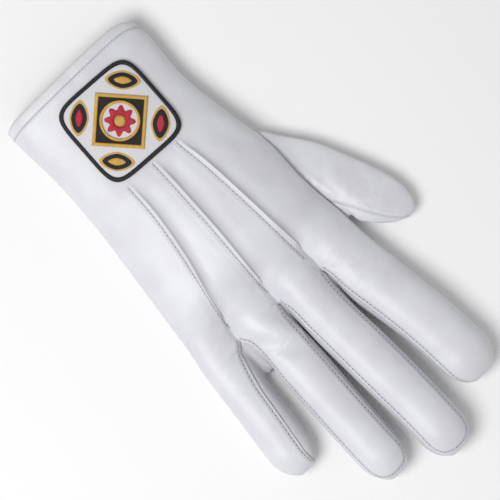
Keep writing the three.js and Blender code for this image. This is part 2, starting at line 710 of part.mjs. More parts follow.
// A plate between two outlines, each a function of the angle, from one lift above the leather to another.
function plate({ centre, turn, inside, outside, rings, spokes, low, high }) {
  const vertices = [];
  const hollow = inside !== null;
  const levels = [low, high];
  levels.forEach((lift) => {
    for (let ring = 0; ring <= rings; ring += 1) {
      for (let i = 0; i < spokes; i += 1) {
        const angle = (2 * Math.PI * i) / spokes;
        const from = hollow ? inside(angle) : 0;
        const reach = lerp(from, outside(angle), ring / rings);
        const local = new THREE.Vector2(reach * Math.cos(angle), reach * Math.sin(angle));
        local.rotateAround(new THREE.Vector2(), turn).add(centre);
        local.rotateAround(new THREE.Vector2(), BADGE_TURN).add(badgeMiddle);
        vertices.push(onBack(local.x, local.y, lift));
      }
    }
  });
  const at = (level, ring, i) => {
    const spoke = hollow || ring > 0 ? i % spokes : 0;
    return (level * (rings + 1) + ring) * spokes + spoke;
  };
  const triangles = [];
  for (let i = 0; i < spokes; i += 1) {
    for (let ring = 0; ring < rings; ring += 1) {
      quad(triangles, at(1, ring, i), at(1, ring + 1, i), at(1, ring + 1, i + 1), at(1, ring, i + 1));
      quad(triangles, at(0, ring, i), at(0, ring, i + 1), at(0, ring + 1, i + 1), at(0, ring + 1, i));
    }
    quad(triangles, at(0, rings, i), at(0, rings, i + 1), at(1, rings, i + 1), at(1, rings, i));
    if (hollow) quad(triangles, at(0, 0, i), at(1, 0, i), at(1, 0, i + 1), at(0, 0, i + 1));
  }
  return geometryOf(vertices, triangles);
}

// Outlines of the badge and its motifs
const roundedSquare = (inset) => (angle) => {
  const across = Math.abs(Math.cos(angle) / (BADGE_WIDTH / 2 - inset)) ** BADGE_SQUARENESS;
  const along = Math.abs(Math.sin(angle) / (BADGE_LENGTH / 2 - inset)) ** BADGE_SQUARENESS;
  return (across + along) ** (-1 / BADGE_SQUARENESS);
};
const circle = (radius) => () => radius;
const lozenge = (reach) => (angle) => {
  return reach / (Math.abs(Math.cos(angle)) + Math.abs(Math.sin(angle)));
};
const petals = (radius) => (angle) => radius * (1 - PETAL_DEPTH * (1 - Math.cos(PETALS * angle)));
const leaf = (angle) => {
  const across = Math.abs(Math.sin(angle) / (LEAF_WIDTH / 2)) ** LEAF_POWER;
  const along = Math.abs(Math.cos(angle) / (LEAF_LENGTH / 2)) ** LEAF_POWER;
  return (across + along) ** (-1 / LEAF_POWER);
};

function badge() {
  const origin = new THREE.Vector2();
  const base = { centre: origin, turn: 0, spokes: BADGE_SPOKES };
  const rim = { ...base, rings: 1, low: SEAM_GAP, high: SEAM_GAP + BADGE_RIM_HEIGHT };
  const inside = roundedSquare(BADGE_RIM_WIDTH);
  add("badge_border", plate({ ...rim, inside, outside: roundedSquare(0) }), BLACK_THREAD);
  const edge = roundedSquare(BADGE_RIM_WIDTH + SEAM_GAP);
  const groundTop = SEAM_GAP + BADGE_GROUND;
  const ground = { ...base, inside: null, outside: edge, rings: 5, low: SEAM_GAP, high: groundTop };
  add("badge_ground", plate(ground), WHITE_SATIN);
  const thread = { ...base, inside: null, low: groundTop + SEAM_GAP, rings: 1 };
  thread.high = thread.low + THREAD_HEIGHT;
  const frame = { ...thread, inside: lozenge(LOZENGE_REACH - LOZENGE_WIDTH * Math.SQRT2) };
  add("badge_lozenge", plate({ ...frame, outside: lozenge(LOZENGE_REACH) }), GOLD_THREAD);
  const ring = { ...thread, inside: circle(RING_RADIUS - RING_BAND), outside: circle(RING_RADIUS) };
  add("badge_ring", plate(ring), BLACK_THREAD);
  const rosette = { ...thread, outside: petals(ROSETTE_RADIUS), inside: circle(BOSS_RADIUS + SEAM_GAP) };
  add("badge_rosette", plate({ ...rosette, spokes: 2 * BADGE_SPOKES }), RED_THREAD);
  const half = BADGE_SPOKES / 2;
  add("badge_boss", plate({ ...thread, outside: circle(BOSS_RADIUS), spokes: half }), GOLD_THREAD);
  for (let corner = 0; corner < 4; corner += 1) {
    const turn = Math.PI * (corner / 2 + 1 / 4);
    const reach = (LOZENGE_REACH + CORNER_REACH * BADGE_WIDTH) * (Math.SQRT1_2 / 2);
    const centre = new THREE.Vector2(reach * Math.cos(turn), reach * Math.sin(turn));
    const across = turn + Math.PI / 2;
    const shape = { ...thread, centre, turn: across, outside: leaf, spokes: half };
    add("badge_leaf_" + (corner + 1), plate(shape), corner % 2 ? RED_THREAD : GOLD_THREAD);
  }
}
badge();

// The glove's origin is under the middle of its outline.
const box = new THREE.Box3().setFromObject(glove);
const middle = box.getCenter(new THREE.Vector3());
glove.position.set(-middle.x, -middle.y, -box.min.z);

export default glove;
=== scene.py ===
import math

import bpy
import numpy as np
from bpy.props import FloatProperty, FloatVectorProperty, PointerProperty
from mathutils import Matrix, Vector, noise
from mathutils.bvhtree import BVHTree
from mathutils.kdtree import KDTree


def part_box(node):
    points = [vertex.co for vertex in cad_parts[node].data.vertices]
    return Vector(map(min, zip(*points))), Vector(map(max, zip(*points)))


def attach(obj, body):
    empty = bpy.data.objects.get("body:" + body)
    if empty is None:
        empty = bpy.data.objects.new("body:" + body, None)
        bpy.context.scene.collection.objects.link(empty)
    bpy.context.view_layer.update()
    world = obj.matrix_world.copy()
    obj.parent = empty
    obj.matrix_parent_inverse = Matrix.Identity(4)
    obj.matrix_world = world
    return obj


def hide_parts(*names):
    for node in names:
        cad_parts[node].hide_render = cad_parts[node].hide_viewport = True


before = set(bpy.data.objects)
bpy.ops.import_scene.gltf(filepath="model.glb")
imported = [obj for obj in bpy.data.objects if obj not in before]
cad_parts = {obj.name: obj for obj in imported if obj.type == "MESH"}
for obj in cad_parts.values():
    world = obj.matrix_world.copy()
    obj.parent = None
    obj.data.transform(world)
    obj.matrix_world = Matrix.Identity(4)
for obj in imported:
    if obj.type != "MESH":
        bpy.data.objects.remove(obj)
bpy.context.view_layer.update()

bl_info = {
    "name": "White Dress Glove",
    "version": (1, 0, 0),
    "blender": (4, 5, 0),
    "location": "View3D > Sidebar > Glove",
    "description": "A white leather dress glove with sewn tucks and an embroidered badge",
    "category": "Add Mesh",
}


def table(columns, *rows):
    """Rows of numbers, each read by the names of its columns."""
    return [dict(zip(columns.split(), row)) for row in rows]


# Lengths are in metres. The shapes are worked out in the glove's own layout: X runs to the little finger,
# Y from the cuff's edge to the fingertips and Z up. placed() sets them where the frame's solids are.
BADGE_ASIDE = -0.0012
_ground_low, _ground_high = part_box("badge_ground")
SHIFT = np.array([(_ground_low.x + _ground_high.x) / 2 - BADGE_ASIDE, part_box("trank")[0].y, 0.0])

# Hand and fingers
HAND_LENGTH = 0.1575
HAND_WIDTH = 0.099
HAND_THICKNESS = 0.027
CROTCH_SLOPE = 0.0105
TIP_LENGTH = 0.014
CUFF_CORNER_THUMB_SIDE = 0.0045
CUFF_CORNER_LITTLE_SIDE = 0.0015

# Thumb
THUMB_LENGTH = 0.080
THUMB_SPREAD = 0.033
THUMB_THICKNESS = 0.0165
THUMB_HOLE_LENGTH = 0.058
THUMB_HOLE_START = 0.081
THUMB_HOLE_EDGE = 0.955
THUMB_HOLE_EASE = 1.6
THUMB_SIDE_DROP = 0.0032
THUMB_SIDE_FROM = -0.008
THUMB_SIDE_RUN = 0.036
THUMB_SIDE_ALONG = (0.045, 0.085, 0.150, 0.200)
THUMB_SIDE_UP = (0.006, 0.016)
THUMB_SUNK = 0.0003
THUMB_ROLL_AT, THUMB_ROLL_WIDTH, THUMB_ROLL_HEIGHT = 0.0036, 0.0018, 0.0004
THUMB_PUCKERS_AT, THUMB_PUCKERS_WIDTH, THUMB_PUCKERS_HEIGHT = 0.0035, 0.0030, 0.00016
THUMB_LEAN = 0.0045
THUMB_TURNED_IN = 0.0022
THUMB_TURNED_DOWN = [0.0016, 0.0, -0.0005]

# Seams and tucks
LAP = 0.0013
SKIVED = 0.0008
TUCK_START = 0.0575
TUCK_RUN_IN = 0.014
TUCK_END = 0.1400
TUCK_RUN_OUT = 0.0065
TUCK_STITCHES = 0.0017
TUCK_FLANK_THUMB_SIDE = 0.0012
TUCK_FLANK_LITTLE_SIDE = 0.0014
TUCK_HOLLOW_AT, TUCK_HOLLOW_WIDTH, TUCK_HOLLOW_DEPTH = -0.0046, 0.0030, 0.00055
TUCK_SHOULDER_AT, TUCK_SHOULDER_WIDTH, TUCK_SHOULDER_HEIGHT = 0.0050, 0.0034, 0.0004
SEAM_START = 0.0005
SEAM_STEP = 0.0004
TIP_SEAM_INSET = 0.0022
HEM_WIDTH = 0.0046
HEM_STEP = 0.0006
FLUSH = 0.0001
HEM_STITCHES = 0.0044
CROTCH_RUN = 0.011
WEB_RUN = 0.005
BACK_EDGE_RUN = 0.006
WEB_OVERHANG = [0.0, 0.0022, 0.0006]

# Badge
BADGE_WIDTH = 0.0456
BADGE_LENGTH = 0.0466
BADGE_FROM_CUFF = 0.0342
BADGE_TURN = math.radians(-2.8)
BADGE_CLEAR = (0.021, 0.026)
BADGE_FLATNESS = 0.05
BADGE_RIM_WIDTH = 0.0022
LOZENGE_REACH = 0.0175
LOZENGE_WIDTH = 0.0017
RING_RADIUS = 0.0096
RING_BAND = 0.0013
ROSETTE_RADIUS = 0.0074
BOSS_RADIUS = 0.0026
LEAF_LENGTH = 0.0085
LEAF_WIDTH = 0.0036
PETALS = 8
BADGE_SQUARENESS = 5.6
LEAF_REACH = 0.0191
LEAF_FIELD_LENGTH = 0.0146
LEAF_FIELD_WIDTH = 0.0078
SATIN_THREAD = 0.00042
GROUND_THREAD = 0.00055
GROUND_TOP = 0.0013
THREAD_TOP = 0.0023
BORDER_TOP = 0.0019

# Shape of the sections
HAND_POWER = 2.3
FINGER_POWER = 2.1
PALM_POWER = 3
PALM_FLATNESS = 1.06
FINGER_REST = 0.96
WIDEST_HEIGHT = 0.42
HAND_EDGE = 0.88
CROTCH_SHARE = 0.93
PALM_CROTCH_SHARE = 0.82
CROTCH_LEVEL = 0.45
TIP_BLUNTNESS = 0.35
FINGERS_BLEND_FROM = 0.72
SLOPE_FROM = 0.6

# Outline and height of the hand. along is a share of its length, left and right of its width, top of its
# thickness.
HAND_ROWS = table(
    "along left right top",
    (0.0, -0.384, 0.419, 0.74),
    (0.083, -0.392, 0.417, 0.75),
    (0.241, -0.377, 0.409, 0.76),
    (0.4, -0.406, 0.424, 0.86),
    (0.495, -0.431, 0.441, 0.94),
    (0.59, -0.46, 0.46, 1.0),
    (0.717, -0.465, 0.485, 1.0),
    (0.844, -0.467, 0.51, 0.94),
    (1.0, -0.485, 0.546, 0.8),
)

# The three tuck lines on the back, as shares of the hand's width
TUCK_ROWS = table(
    "along index_side middle_side little_side",
    (0.0, -0.131, 0.0, 0.141),
    (0.38, -0.152, 0.0, 0.162),
    (0.5, -0.172, 0.005, 0.172),
    (0.65, -0.187, 0.015, 0.21),
    (0.81, -0.199, 0.03, 0.263),
    (1.0, -0.215, 0.041, 0.305),
)
TUCK_LINES = ["index_side", "middle_side", "little_side"]

# Each finger. In its rows along is a share of its length, aside and width are shares of its width.
# left and right are the shares of its half width at which the stitches run on its back, and run_left and
# run_right are how far they take to get there from the crotch.
FINGER_COLUMNS = "along aside width"
FINGERS = table(
    "length width thickness root left right roll run_left run_right rows",
    (0.0808, 0.026, 0.019, -0.343, -0.88, 0.85, 0.0, 0.011, 0.016, table(
        FINGER_COLUMNS,
        (-0.35, 0.03, 0.99),
        (0.0, -0.023, 1.02),
        (0.16, -0.062, 1.077),
        (0.316, -0.135, 1.06),
        (0.56, -0.24, 1.035),
        (0.81, -0.298, 1.035),
        (1.0, -0.3, 1.0),
    )),
    (0.0983, 0.025, 0.020, -0.086, -0.86, 0.79, 0.0, 0.011, 0.011, table(
        FINGER_COLUMNS,
        (-0.3, 0.0, 0.92),
        (0.0, 0.006, 1.0),
        (0.16, 0.016, 1.0),
        (0.36, -0.012, 1.016),
        (0.565, -0.038, 1.02),
        (0.77, -0.048, 0.984),
        (1.0, -0.03, 0.96),
    )),
    (0.0868, 0.024, 0.019, 0.172, -0.8, 0.86, 0.0, 0.011, 0.011, table(
        FINGER_COLUMNS,
        (-0.34, -0.115, 0.94),
        (0.0, -0.025, 1.0),
        (0.12, -0.037, 0.95),
        (0.29, 0.004, 0.99),
        (0.52, 0.048, 0.97),
        (0.75, 0.077, 0.97),
        (1.0, 0.083, 0.95),
    )),
    (0.0557, 0.0225, 0.017, 0.434, -0.6, 0.88, 0.34, 0.024, 0.011, table(
        FINGER_COLUMNS,
        (-0.53, -0.222, 1.06),
        (0.0, 0.002, 0.982),
        (0.19, 0.067, 0.978),
        (0.37, 0.127, 0.99),
        (0.64, 0.209, 1.022),
        (0.76, 0.244, 1.004),
        (1.0, 0.267, 0.96),
    )),
)
PALM_SEAM = 0.85
PALM_SEAM_INSET = 0.06
LAST = len(FINGERS) - 1

# The thumb's two rails, station by station. left is its outer silhouette and right faces the index finger.
THUMB_ROWS = table(
    "along left_out left_along right_out right_past half",
    (1, 0.12, 0.045, 0.14, 0.027, 0.40),
    (2, 0.33, 0.17, 0.165, 0.077, 0.45),
    (3, 0.54, 0.3, 0.18, 0.127, 0.5),
    (4, 0.7, 0.445, 0.19, 0.196, 0.52),
    (5, 0.84, 0.59, 0.2, 0.28, 0.52),
    (6, 0.945, 0.715, 0.23, 0.382, 0.5),
    (7, 1.0, 0.825, 0.33, 0.578, 0.45),
    (8, 0.99, 0.912, 0.51, 0.818, 0.34),
    (9, 0.92, 0.972, 0.68, 0.953, 0.19),
    (10, 0.85, 0.995, 0.76, 0.996, 0.0),
)
THUMB_EASED = 3
THUMB_DROP = 0.25

# Creases in the leather, each from one place to another, with its width and depth
CREASES = table(
    "x0 y0 x1 y1 width depth",
    (0.0075, 0.172, 0.026, 0.150, 0.0040, 0.0018),
    (0.0100, 0.160, 0.021, 0.146, 0.0015, 0.00025),
    (0.0330, 0.1490, 0.0385, 0.1503, 0.0008, 0.0005),
    (-0.0440, 0.167, -0.0285, 0.160, 0.0012, 0.0003),
    (-0.0420, 0.161, -0.0260, 0.153, 0.0014, 0.00035),
    (-0.0380, 0.174, -0.0260, 0.170, 0.0010, 0.0002),
    (-0.0275, 0.147, -0.0240, 0.118, 0.0040, 0.0004),
    (-0.0400, 0.088, -0.0310, 0.064, 0.0035, 0.0005),
    (0.0390, 0.050, 0.0270, 0.066, 0.0040, 0.0003),
    (-0.0640, 0.117, -0.0480, 0.133, 0.0016, 0.00012),
    (-0.0600, 0.110, -0.0475, 0.121, 0.0018, 0.0001),
    (-0.0620, 0.125, -0.0520, 0.137, 0.0013, 0.00007),
)
THUMB_SEAM = [(-0.0452, 0.1285), (-0.0525, 0.1405), (-0.0605, 0.1535), (-0.0655, 0.1592), (-0.0690, 0.1604)]

# The leather's undulation: how high its waves are, their size along X, Y and Z, and where along Y they lie.
# A reach of 0 spreads them over the whole glove.
WAVES = table(
    "height x y z middle reach",
    (0.00040, 0.015, 0.040, 0.02, 0, 0),
    (0.00016, 0.006, 0.012, 0.01, 0, 0),
    (0.00011, 0.0040, 0.0016, 0.004, 0.158, 0.014),
    (0.00014, 0.0018, 0.0035, 0.004, 0.140, 0.007),
)

# Where the backs of the fingers part, with how far each place lies off the common line
CROTCHES = table(
    "x y off",
    (-0.0211, 0.149, 0.0020),
    (0.0040, 0.146, -0.0010),
    (0.0302, 0.145, -0.0020),
)
CROTCH_LINE = 0.156
CROTCH_LINE_REACH = 0.020
PUCKERS_AT, PUCKERS_WIDTH, PUCKERS_HEIGHT = 0.0042, 0.0028, 0.00015
DENT_WIDTH, DENT_DEPTH = 0.0034, 0.0007
THUMB_CROTCH = [-0.0465, 0.139]
THUMB_GAP_TURN = 0.45

# Mesh steps
BACK_COLUMNS = [0, 0.013, 0.028, 0.046, 0.07, 0.1, 0.145, 0.21, 0.29, 0.39, 0.5]
FRACTIONS = np.array(BACK_COLUMNS + [1 - f for f in reversed(BACK_COLUMNS[:-1])])
ROW_STEP = 0.0013
FINE_STEP = 0.0008
FINE_LENGTH = 0.014
HOLE_STEPS = 9
OUTER_STEPS = 13
WEB_STEPS = 10
TIP_STEPS = 14
THUMB_STEPS = 100
WELD = 1e-6
BADGE_WELD = 1e-7
RIM_ROUNDING = 0.35
EDGE_DRAWN = 0.16

# What the leather's finish reads: how near a seam it acts, and where the leather is gathered or creased
SEAM_FAR = 0.006
SEAM_FADES = (0.0030, 0.0040)
GATHERED_AT, GATHERED_WIDTH = 0.007, 0.006
CREASED_AT, CREASED_WIDTH = 0.163, 0.012

# Heights in the leather's finish, and under them those along its stitches
PEBBLES, PORES, BROAD, WRINKLES, FOLDS, CRACKS = 0.000030, 0.000022, 0.00020, 0.00016, 0.00034, 0.000022
GROOVE, PILLOW, PULSE, NEEDLE_HOLE = 0.00018, 0.00012, 0.00005, 0.0003

# Stage
FLOOR_HALF = 3.0
FLOOR_BELOW = 0.0002
KEY_PLACE, KEY_SIZE = (0.54, -0.06, 0.96), 0.65
CAMERA_HEIGHT = 1.2
VIEW_WIDTH = 0.235
VIEW_TARGET = (0.00524, -0.00828, 0.012)
VIEW_RIGHT, VIEW_UP = (-0.7193, 0.6947, 0.0), (-0.6947, -0.7193, 0.0)


# Numbers

def smooth(value, low, high):
    t = np.clip((value - low) / (high - low), 0, 1)
    return t * t * (3 - 2 * t)


def mix(a, b, t):
    return a + (b - a) * t


def bulge(value, power):
    """A power that keeps the sign, for rounded rectangles."""
    return np.sign(value) * np.abs(value) ** power


def between(value, start, full, fading, end):
    """1 from full to fading, easing to 0 at start and end."""
    return smooth(value, start, full) * (1 - smooth(value, fading, end))


def hump(distance, width):
    """A smooth hump, 1 at its middle."""
    return np.exp(-((distance / width) ** 2))


def read(rows, column, along):
    """The value of a table's column at places along it, on a smooth curve through its rows."""
    places = np.array([row["along"] for row in rows], float)
    values = np.array([row[column] for row in rows], float)
    along = np.asarray(along, float)
    i = np.clip(np.searchsorted(places, along) - 1, 0, len(places) - 2)
    before = np.maximum(i - 1, 0)
    after = np.minimum(i + 2, len(places) - 1)
    span = places[i + 1] - places[i]
    t = np.clip((along - places[i]) / span, 0, 1)
    slope_a = span * (values[i + 1] - values[before]) / (places[i + 1] - places[before])
    slope_b = span * (values[after] - values[i]) / (places[after] - places[i])
    rise = t * t * (3 - 2 * t)
    return mix(values[i], values[i + 1], rise) + t * (1 - t) * ((1 - t) * slope_a - t * slope_b)


def angle_at(share, power, on_palm=False):
    """The angle round a section at a share of its half width, on its back or its palm side."""
    angle = np.arccos(np.clip(bulge(share, power / 2), -1, 1))
    return 2 * np.pi - angle if on_palm else angle


def mix_points(a, b, t):
    """Mixes grids of points by a share for each point."""
    return mix(a, b, np.expand_dims(t, -1))


def stack(x, y, z):
    return np.stack(np.broadcast_arrays(x, y, z), axis=-1)


# The glove's surface

def hand_section(along):
    left = HAND_WIDTH * read(HAND_ROWS, "left", along)
    right = HAND_WIDTH * read(HAND_ROWS, "right", along)
    top = HAND_THICKNESS * read(HAND_ROWS, "top", along)
    return (left + right) / 2, (right - left) / 2, top, WIDEST_HEIGHT * top


def hand_point(along, angle):
    """Points of the hand's surface at angles round its sections. The cuff's corners are rounded."""
    middle, half, top, widest = hand_section(along)
    up = bulge(np.sin(angle), 2 / HAND_POWER)
    down = PALM_FLATNESS * np.abs(np.sin(angle)) ** (2 / PALM_POWER)
    across = bulge(np.cos(angle), 2 / HAND_POWER)
    slope = -CROTCH_SLOPE * smooth(along, SLOPE_FROM, 1) * np.clip(up / CROTCH_LEVEL, -1, 1)
    rounding = np.where(across < 0, CUFF_CORNER_THUMB_SIDE, CUFF_CORNER_LITTLE_SIDE)
    corner = rounding * np.abs(across) ** 9 * (1 - smooth(along, 0, 0.12))
    z = np.where(up > 0, mix(widest, top, up), widest * np.maximum(0, 1 - down))
    return stack(middle + half * across, HAND_LENGTH * along + slope + corner, z)


def finger_section(finger, along):
    """The middle and half width of a finger, and how much of the crotches' slope is left there."""
    middle = HAND_WIDTH * finger["root"] + finger["width"] * read(finger["rows"], "aside", along)
    half = finger["width"] / 2 * read(finger["rows"], "width", along)
    level = 1 - np.clip(along / (1 - TIP_LENGTH / finger["length"]), 0, 1)
    return middle, half, level


def finger_point(finger, along, tip, angle):
    """Points of a finger's surface. along starts at the crotches, tip is 0 to 1 through the rounded end."""
    middle, half, level = finger_section(finger, along)
    rest = finger["thickness"] / 2
    narrow = np.sqrt(1 - tip * tip * (1 - TIP_BLUNTNESS ** 2))
    height = rest * np.sqrt(np.maximum(0, 1 - tip * tip))
    up = bulge(np.sin(angle), 2 / FINGER_POWER)
    slope = -CROTCH_SLOPE * level * np.clip(up / CROTCH_LEVEL, -1, 1)
    x = middle + half * narrow * bulge(np.cos(angle), 2 / FINGER_POWER)
    y = HAND_LENGTH + finger["length"] * along + slope
    return stack(x, y, np.maximum(0, FINGER_REST * rest + height * up))


def seam_share(finger, on, side, reach, tip):
    """The share of the half width at which a finger's leather ends, a lap outside its stitches."""
    sign = -1 if side == "left" else 1
    along = reach / finger["length"]
    _, half, _ = finger_section(finger, along)
    stitched = sign * PALM_SEAM if on == "palm" else finger[side]
    if on == "back" and side == "left":
        stitched = stitched + finger["roll"] * np.clip(along, 0, 1)
    rim = sign * np.minimum(0.985, sign * stitched + LAP / half)
    start = CROTCH_SHARE if on == "back" else PALM_CROTCH_SHARE
    run = finger["run_" + side] if on == "back" else CROTCH_RUN
    share = mix(sign * start, rim, smooth(reach, 0, run))
    return mix(share, sign, tip ** 4)


def finger_angle(finger, on, fraction, reach, tip):
    if on in ("left", "right"):
        top = angle_at(seam_share(finger, "back", on, reach, tip), FINGER_POWER)
        bottom = angle_at(seam_share(finger, "palm", on, reach, tip), FINGER_POWER, True)
        return mix(top, bottom - 2 * np.pi if on == "right" else bottom, fraction)
    start = seam_share(finger, on, "left", reach, tip)
    end = seam_share(finger, on, "right", reach, tip)
    return angle_at(mix(start, end, fraction), FINGER_POWER, on == "palm")


def plain_finger(number, on, fraction, reach):
    finger = FINGERS[number]
    along = reach / finger["length"]
    straight = 1 - TIP_LENGTH / finger["length"]
    tip = np.clip((along - straight) / (1 - straight), 0, 1)
    return finger_point(finger, along, tip, finger_angle(finger, on, fraction, reach, tip))


def past_web(reach):
    """How far a finger's side has left the web between two fingers, from 0 to 1, on a rounded run."""
    t = np.clip(reach / WEB_RUN, 0, 1)
    return np.sqrt(1 - (1 - t) ** 2)


def finger_surface(number, on, fraction, reach):
    """Points of a finger. Near a crotch its edge is drawn to the place that it shares with its neighbour."""
    points = plain_finger(number, on, fraction, reach)
    if on not in ("back", "palm"):
        return points
    away = smooth(reach, 0, BACK_EDGE_RUN) if on == "back" else past_web(reach)
    for end, other in ((0, number - 1), (1, number + 1)):
        if 0 <= other <= LAST:
            own = plain_finger(number, on, end, reach)
            twin = plain_finger(other, on, 1 - end, reach)
            across = hump(np.abs(fraction - end), EDGE_DRAWN) * (1 - away)
            points = points + (twin - own) / 2 * across[..., None]
    return points


def side_surface(number, on, fraction, reach):
    """Points of the strip beside a finger, which starts from the web between two fingers."""
    points = plain_finger(number, on, fraction, reach)
    end = 1.0 if on == "right" else 0.0
    at_web = np.zeros_like(reach)
    top = finger_surface(number, "back", end, at_web)
    bottom = finger_surface(number, "palm", end, at_web) + WEB_OVERHANG
    web = mix_points(top, bottom, np.broadcast_to(fraction, points.shape[:2]))
    return mix_points(web, points, past_web(reach))


def tuck_line(number, along):
    """Where a tuck runs, in metres across the hand."""
    return HAND_WIDTH * read(TUCK_ROWS, TUCK_LINES[number], along)


def hand_angle(number, on, fraction, along):
    middle, half, _, _ = hand_section(along)
    hand_bottom = angle_at(HAND_EDGE, HAND_POWER, True) - 2 * np.pi
    if on == "right":
        return mix(angle_at(HAND_EDGE, HAND_POWER), hand_bottom, fraction)
    if on == "left":
        return np.pi - mix(angle_at(THUMB_HOLE_EDGE, HAND_POWER), hand_bottom, fraction)
    edge = THUMB_HOLE_EDGE if on == "back" else HAND_EDGE
    start = -edge if number == 0 else (tuck_line(number - 1, along) - middle) / half
    end = HAND_EDGE if number == LAST else (tuck_line(number, along) - middle) / half
    return angle_at(mix(start, end, fraction), HAND_POWER, on == "palm")


HOLE_MIDDLE = (THUMB_HOLE_START + THUMB_HOLE_LENGTH / 2) / HAND_LENGTH
HOLE_HALF = THUMB_HOLE_LENGTH / 2 / HAND_LENGTH
HOLE_TOP = np.pi - angle_at(THUMB_HOLE_EDGE, HAND_POWER)
HOLE_BOTTOM = 3 * np.pi - angle_at(HAND_EDGE, HAND_POWER, True)
HOLE_ANGLE = (HOLE_TOP + HOLE_BOTTOM) / 2
HOLE_ANGLE_HALF = (HOLE_BOTTOM - HOLE_TOP) / 2


def drawn_in(along, angle):
    """Draws the grid round the thumb hole in to an oval."""
    a = (along - HOLE_MIDDLE) / HOLE_HALF
    b = (HOLE_ANGLE - angle) / HOLE_ANGLE_HALF
    a, b = np.broadcast_arrays(a, b)
    far = np.maximum(np.maximum(np.abs(a), np.abs(b)), 1e-9)
    size = np.maximum(far, 1)
    u, v = a / size, b / size
    round_a = u * np.sqrt(1 - v * v / 2) * size
    round_b = v * np.sqrt(1 - u * u / 2) * size
    keep = smooth(far, 1, THUMB_HOLE_EASE)
    a, b = mix(round_a, a, keep), mix(round_b, b, keep)
    return HOLE_MIDDLE + a * HOLE_HALF, HOLE_ANGLE - b * HOLE_ANGLE_HALF


def hand_surface(number, on, fraction, along):
    """Points of the hand, blended into the fingers' bases as the crotches come near."""
    round_along, angle = drawn_in(along, hand_angle(number, on, fraction, along))
    points = hand_point(round_along, angle)
    base = finger_surface(number, on, fraction, (along - 1) * HAND_LENGTH)
    return mix_points(points, base, smooth(along, FINGERS_BLEND_FROM, 1) ** 1.7)


def settled(points):
    """The crotches lie a little before or past their common line, and the thumb side slopes down."""
    x, y, z = points[..., 0], points[..., 1], points[..., 2]
    off = np.interp(x, [row["x"] for row in CROTCHES], [row["off"] for row in CROTCHES])
    near = hump(y - CROTCH_LINE, CROTCH_LINE_REACH) * smooth(x, -0.050, -0.038)
    drop = THUMB_SIDE_DROP * np.clip((THUMB_SIDE_FROM - x) / THUMB_SIDE_RUN, 0, 1) ** 1.3
    moved = points.copy()
    moved[..., 1] += off * near
    moved[..., 2] -= drop * between(y, *THUMB_SIDE_ALONG) * smooth(z, *THUMB_SIDE_UP)
    return moved


def tuck_profile(s, height):
    """The height of the leather beside a tuck, s metres to its little finger side."""
    flank = np.where(s < 0, TUCK_FLANK_THUMB_SIDE, TUCK_FLANK_LITTLE_SIDE)
    crest = height * np.exp(-np.abs(s / flank) ** np.where(s < 0, 1.3, 2.0))
    hollow = TUCK_HOLLOW_DEPTH * hump(s - TUCK_HOLLOW_AT, TUCK_HOLLOW_WIDTH)
    shoulder = TUCK_SHOULDER_HEIGHT * hump(s - TUCK_SHOULDER_AT, TUCK_SHOULDER_WIDTH)
    return crest - hollow + shoulder


def tuck_lift(number, on, fraction, along, height):
    """How far the leather beside the tucks stands up."""
    lift = np.zeros(np.broadcast(fraction, along).shape)
    if on != "back":
        return lift
    middle, half, _, _ = hand_section(along)
    start = middle - half if number == 0 else tuck_line(number - 1, along)
    end = middle + half if number == LAST else tuck_line(number, along)
    width = end - start
    y = along * HAND_LENGTH
    strength = between(y, TUCK_START, TUCK_START + TUCK_RUN_IN, TUCK_END, TUCK_END + TUCK_RUN_OUT)
    if number > 0:
        lift = lift + tuck_profile(fraction * width, height) * strength
    if number < LAST:
        lift = lift + tuck_profile((fraction - 1) * width, height) * strength
    return lift


# Rows of the mesh

def steps_between(marks, step):
    rows = [marks[0]]
    for a, b in zip(marks, marks[1:]):
        count = max(1, round((b - a) / step))
        rows += [a + (b - a) * i / count for i in range(1, count + 1)]
    return rows


def hand_rows():
    hole_end = THUMB_HOLE_START + THUMB_HOLE_LENGTH
    coarse = steps_between([0, THUMB_HOLE_START, hole_end], ROW_STEP)
    rows = coarse + steps_between([hole_end, HAND_LENGTH], FINE_STEP)[1:]
    return np.array(rows)[:, None] / HAND_LENGTH


def finger_rows(finger):
    straight = finger["length"] - TIP_LENGTH
    rows = steps_between([0, FINE_LENGTH], FINE_STEP) + steps_between([FINE_LENGTH, straight], ROW_STEP)[1:]
    turns = np.linspace(0, np.pi / 2, TIP_STEPS + 1)[1:]
    rows += [straight + TIP_LENGTH * math.sin(turn) for turn in turns]
    return np.array(rows)[:, None]


class Patch:
    """A grid of points on one sheet. turned says that its columns run the other way round."""

    def __init__(self, points, turned, lift=None, hole=None):
        self.points = settled(points)
        self.turned = turned
        self.lift = np.zeros(points.shape[:2]) if lift is None else lift
        self.hole = hole

    def quads(self, start):
        rows, columns = self.points.shape[:2]
        at = start + np.arange(rows * columns).reshape(rows, columns)
        quads = np.stack([at[:-1, :-1], at[:-1, 1:], at[1:, 1:], at[1:, :-1]], axis=-1)
        if self.hole:
            keep = np.ones(quads.shape[:2], bool)
            keep[self.hole[0]:self.hole[1], :] = False
            quads = quads[keep]
        quads = quads.reshape(-1, 4)
        return quads[:, ::-1] if self.turned else quads


def welded(groups):
    """Joins the patches' points. Returns the points, their lifts and each group's faces."""
    patches = [patch for group in groups for patch in group]
    points = np.concatenate([patch.points.reshape(-1, 3) for patch in patches])
    lifts = np.concatenate([patch.lift.reshape(-1) for patch in patches])
    _, first, number = np.unique(np.round(points / WELD).astype(np.int64), axis=0,
                                 return_index=True, return_inverse=True)
    number = number.reshape(-1)
    faces = []
    start = 0
    for group in groups:
        quads = []
        for patch in group:
            quads.append(patch.quads(start))
            start += patch.points.shape[0] * patch.points.shape[1]
        faces.append(number[np.concatenate(quads)])
    return points[first], lifts[first], faces


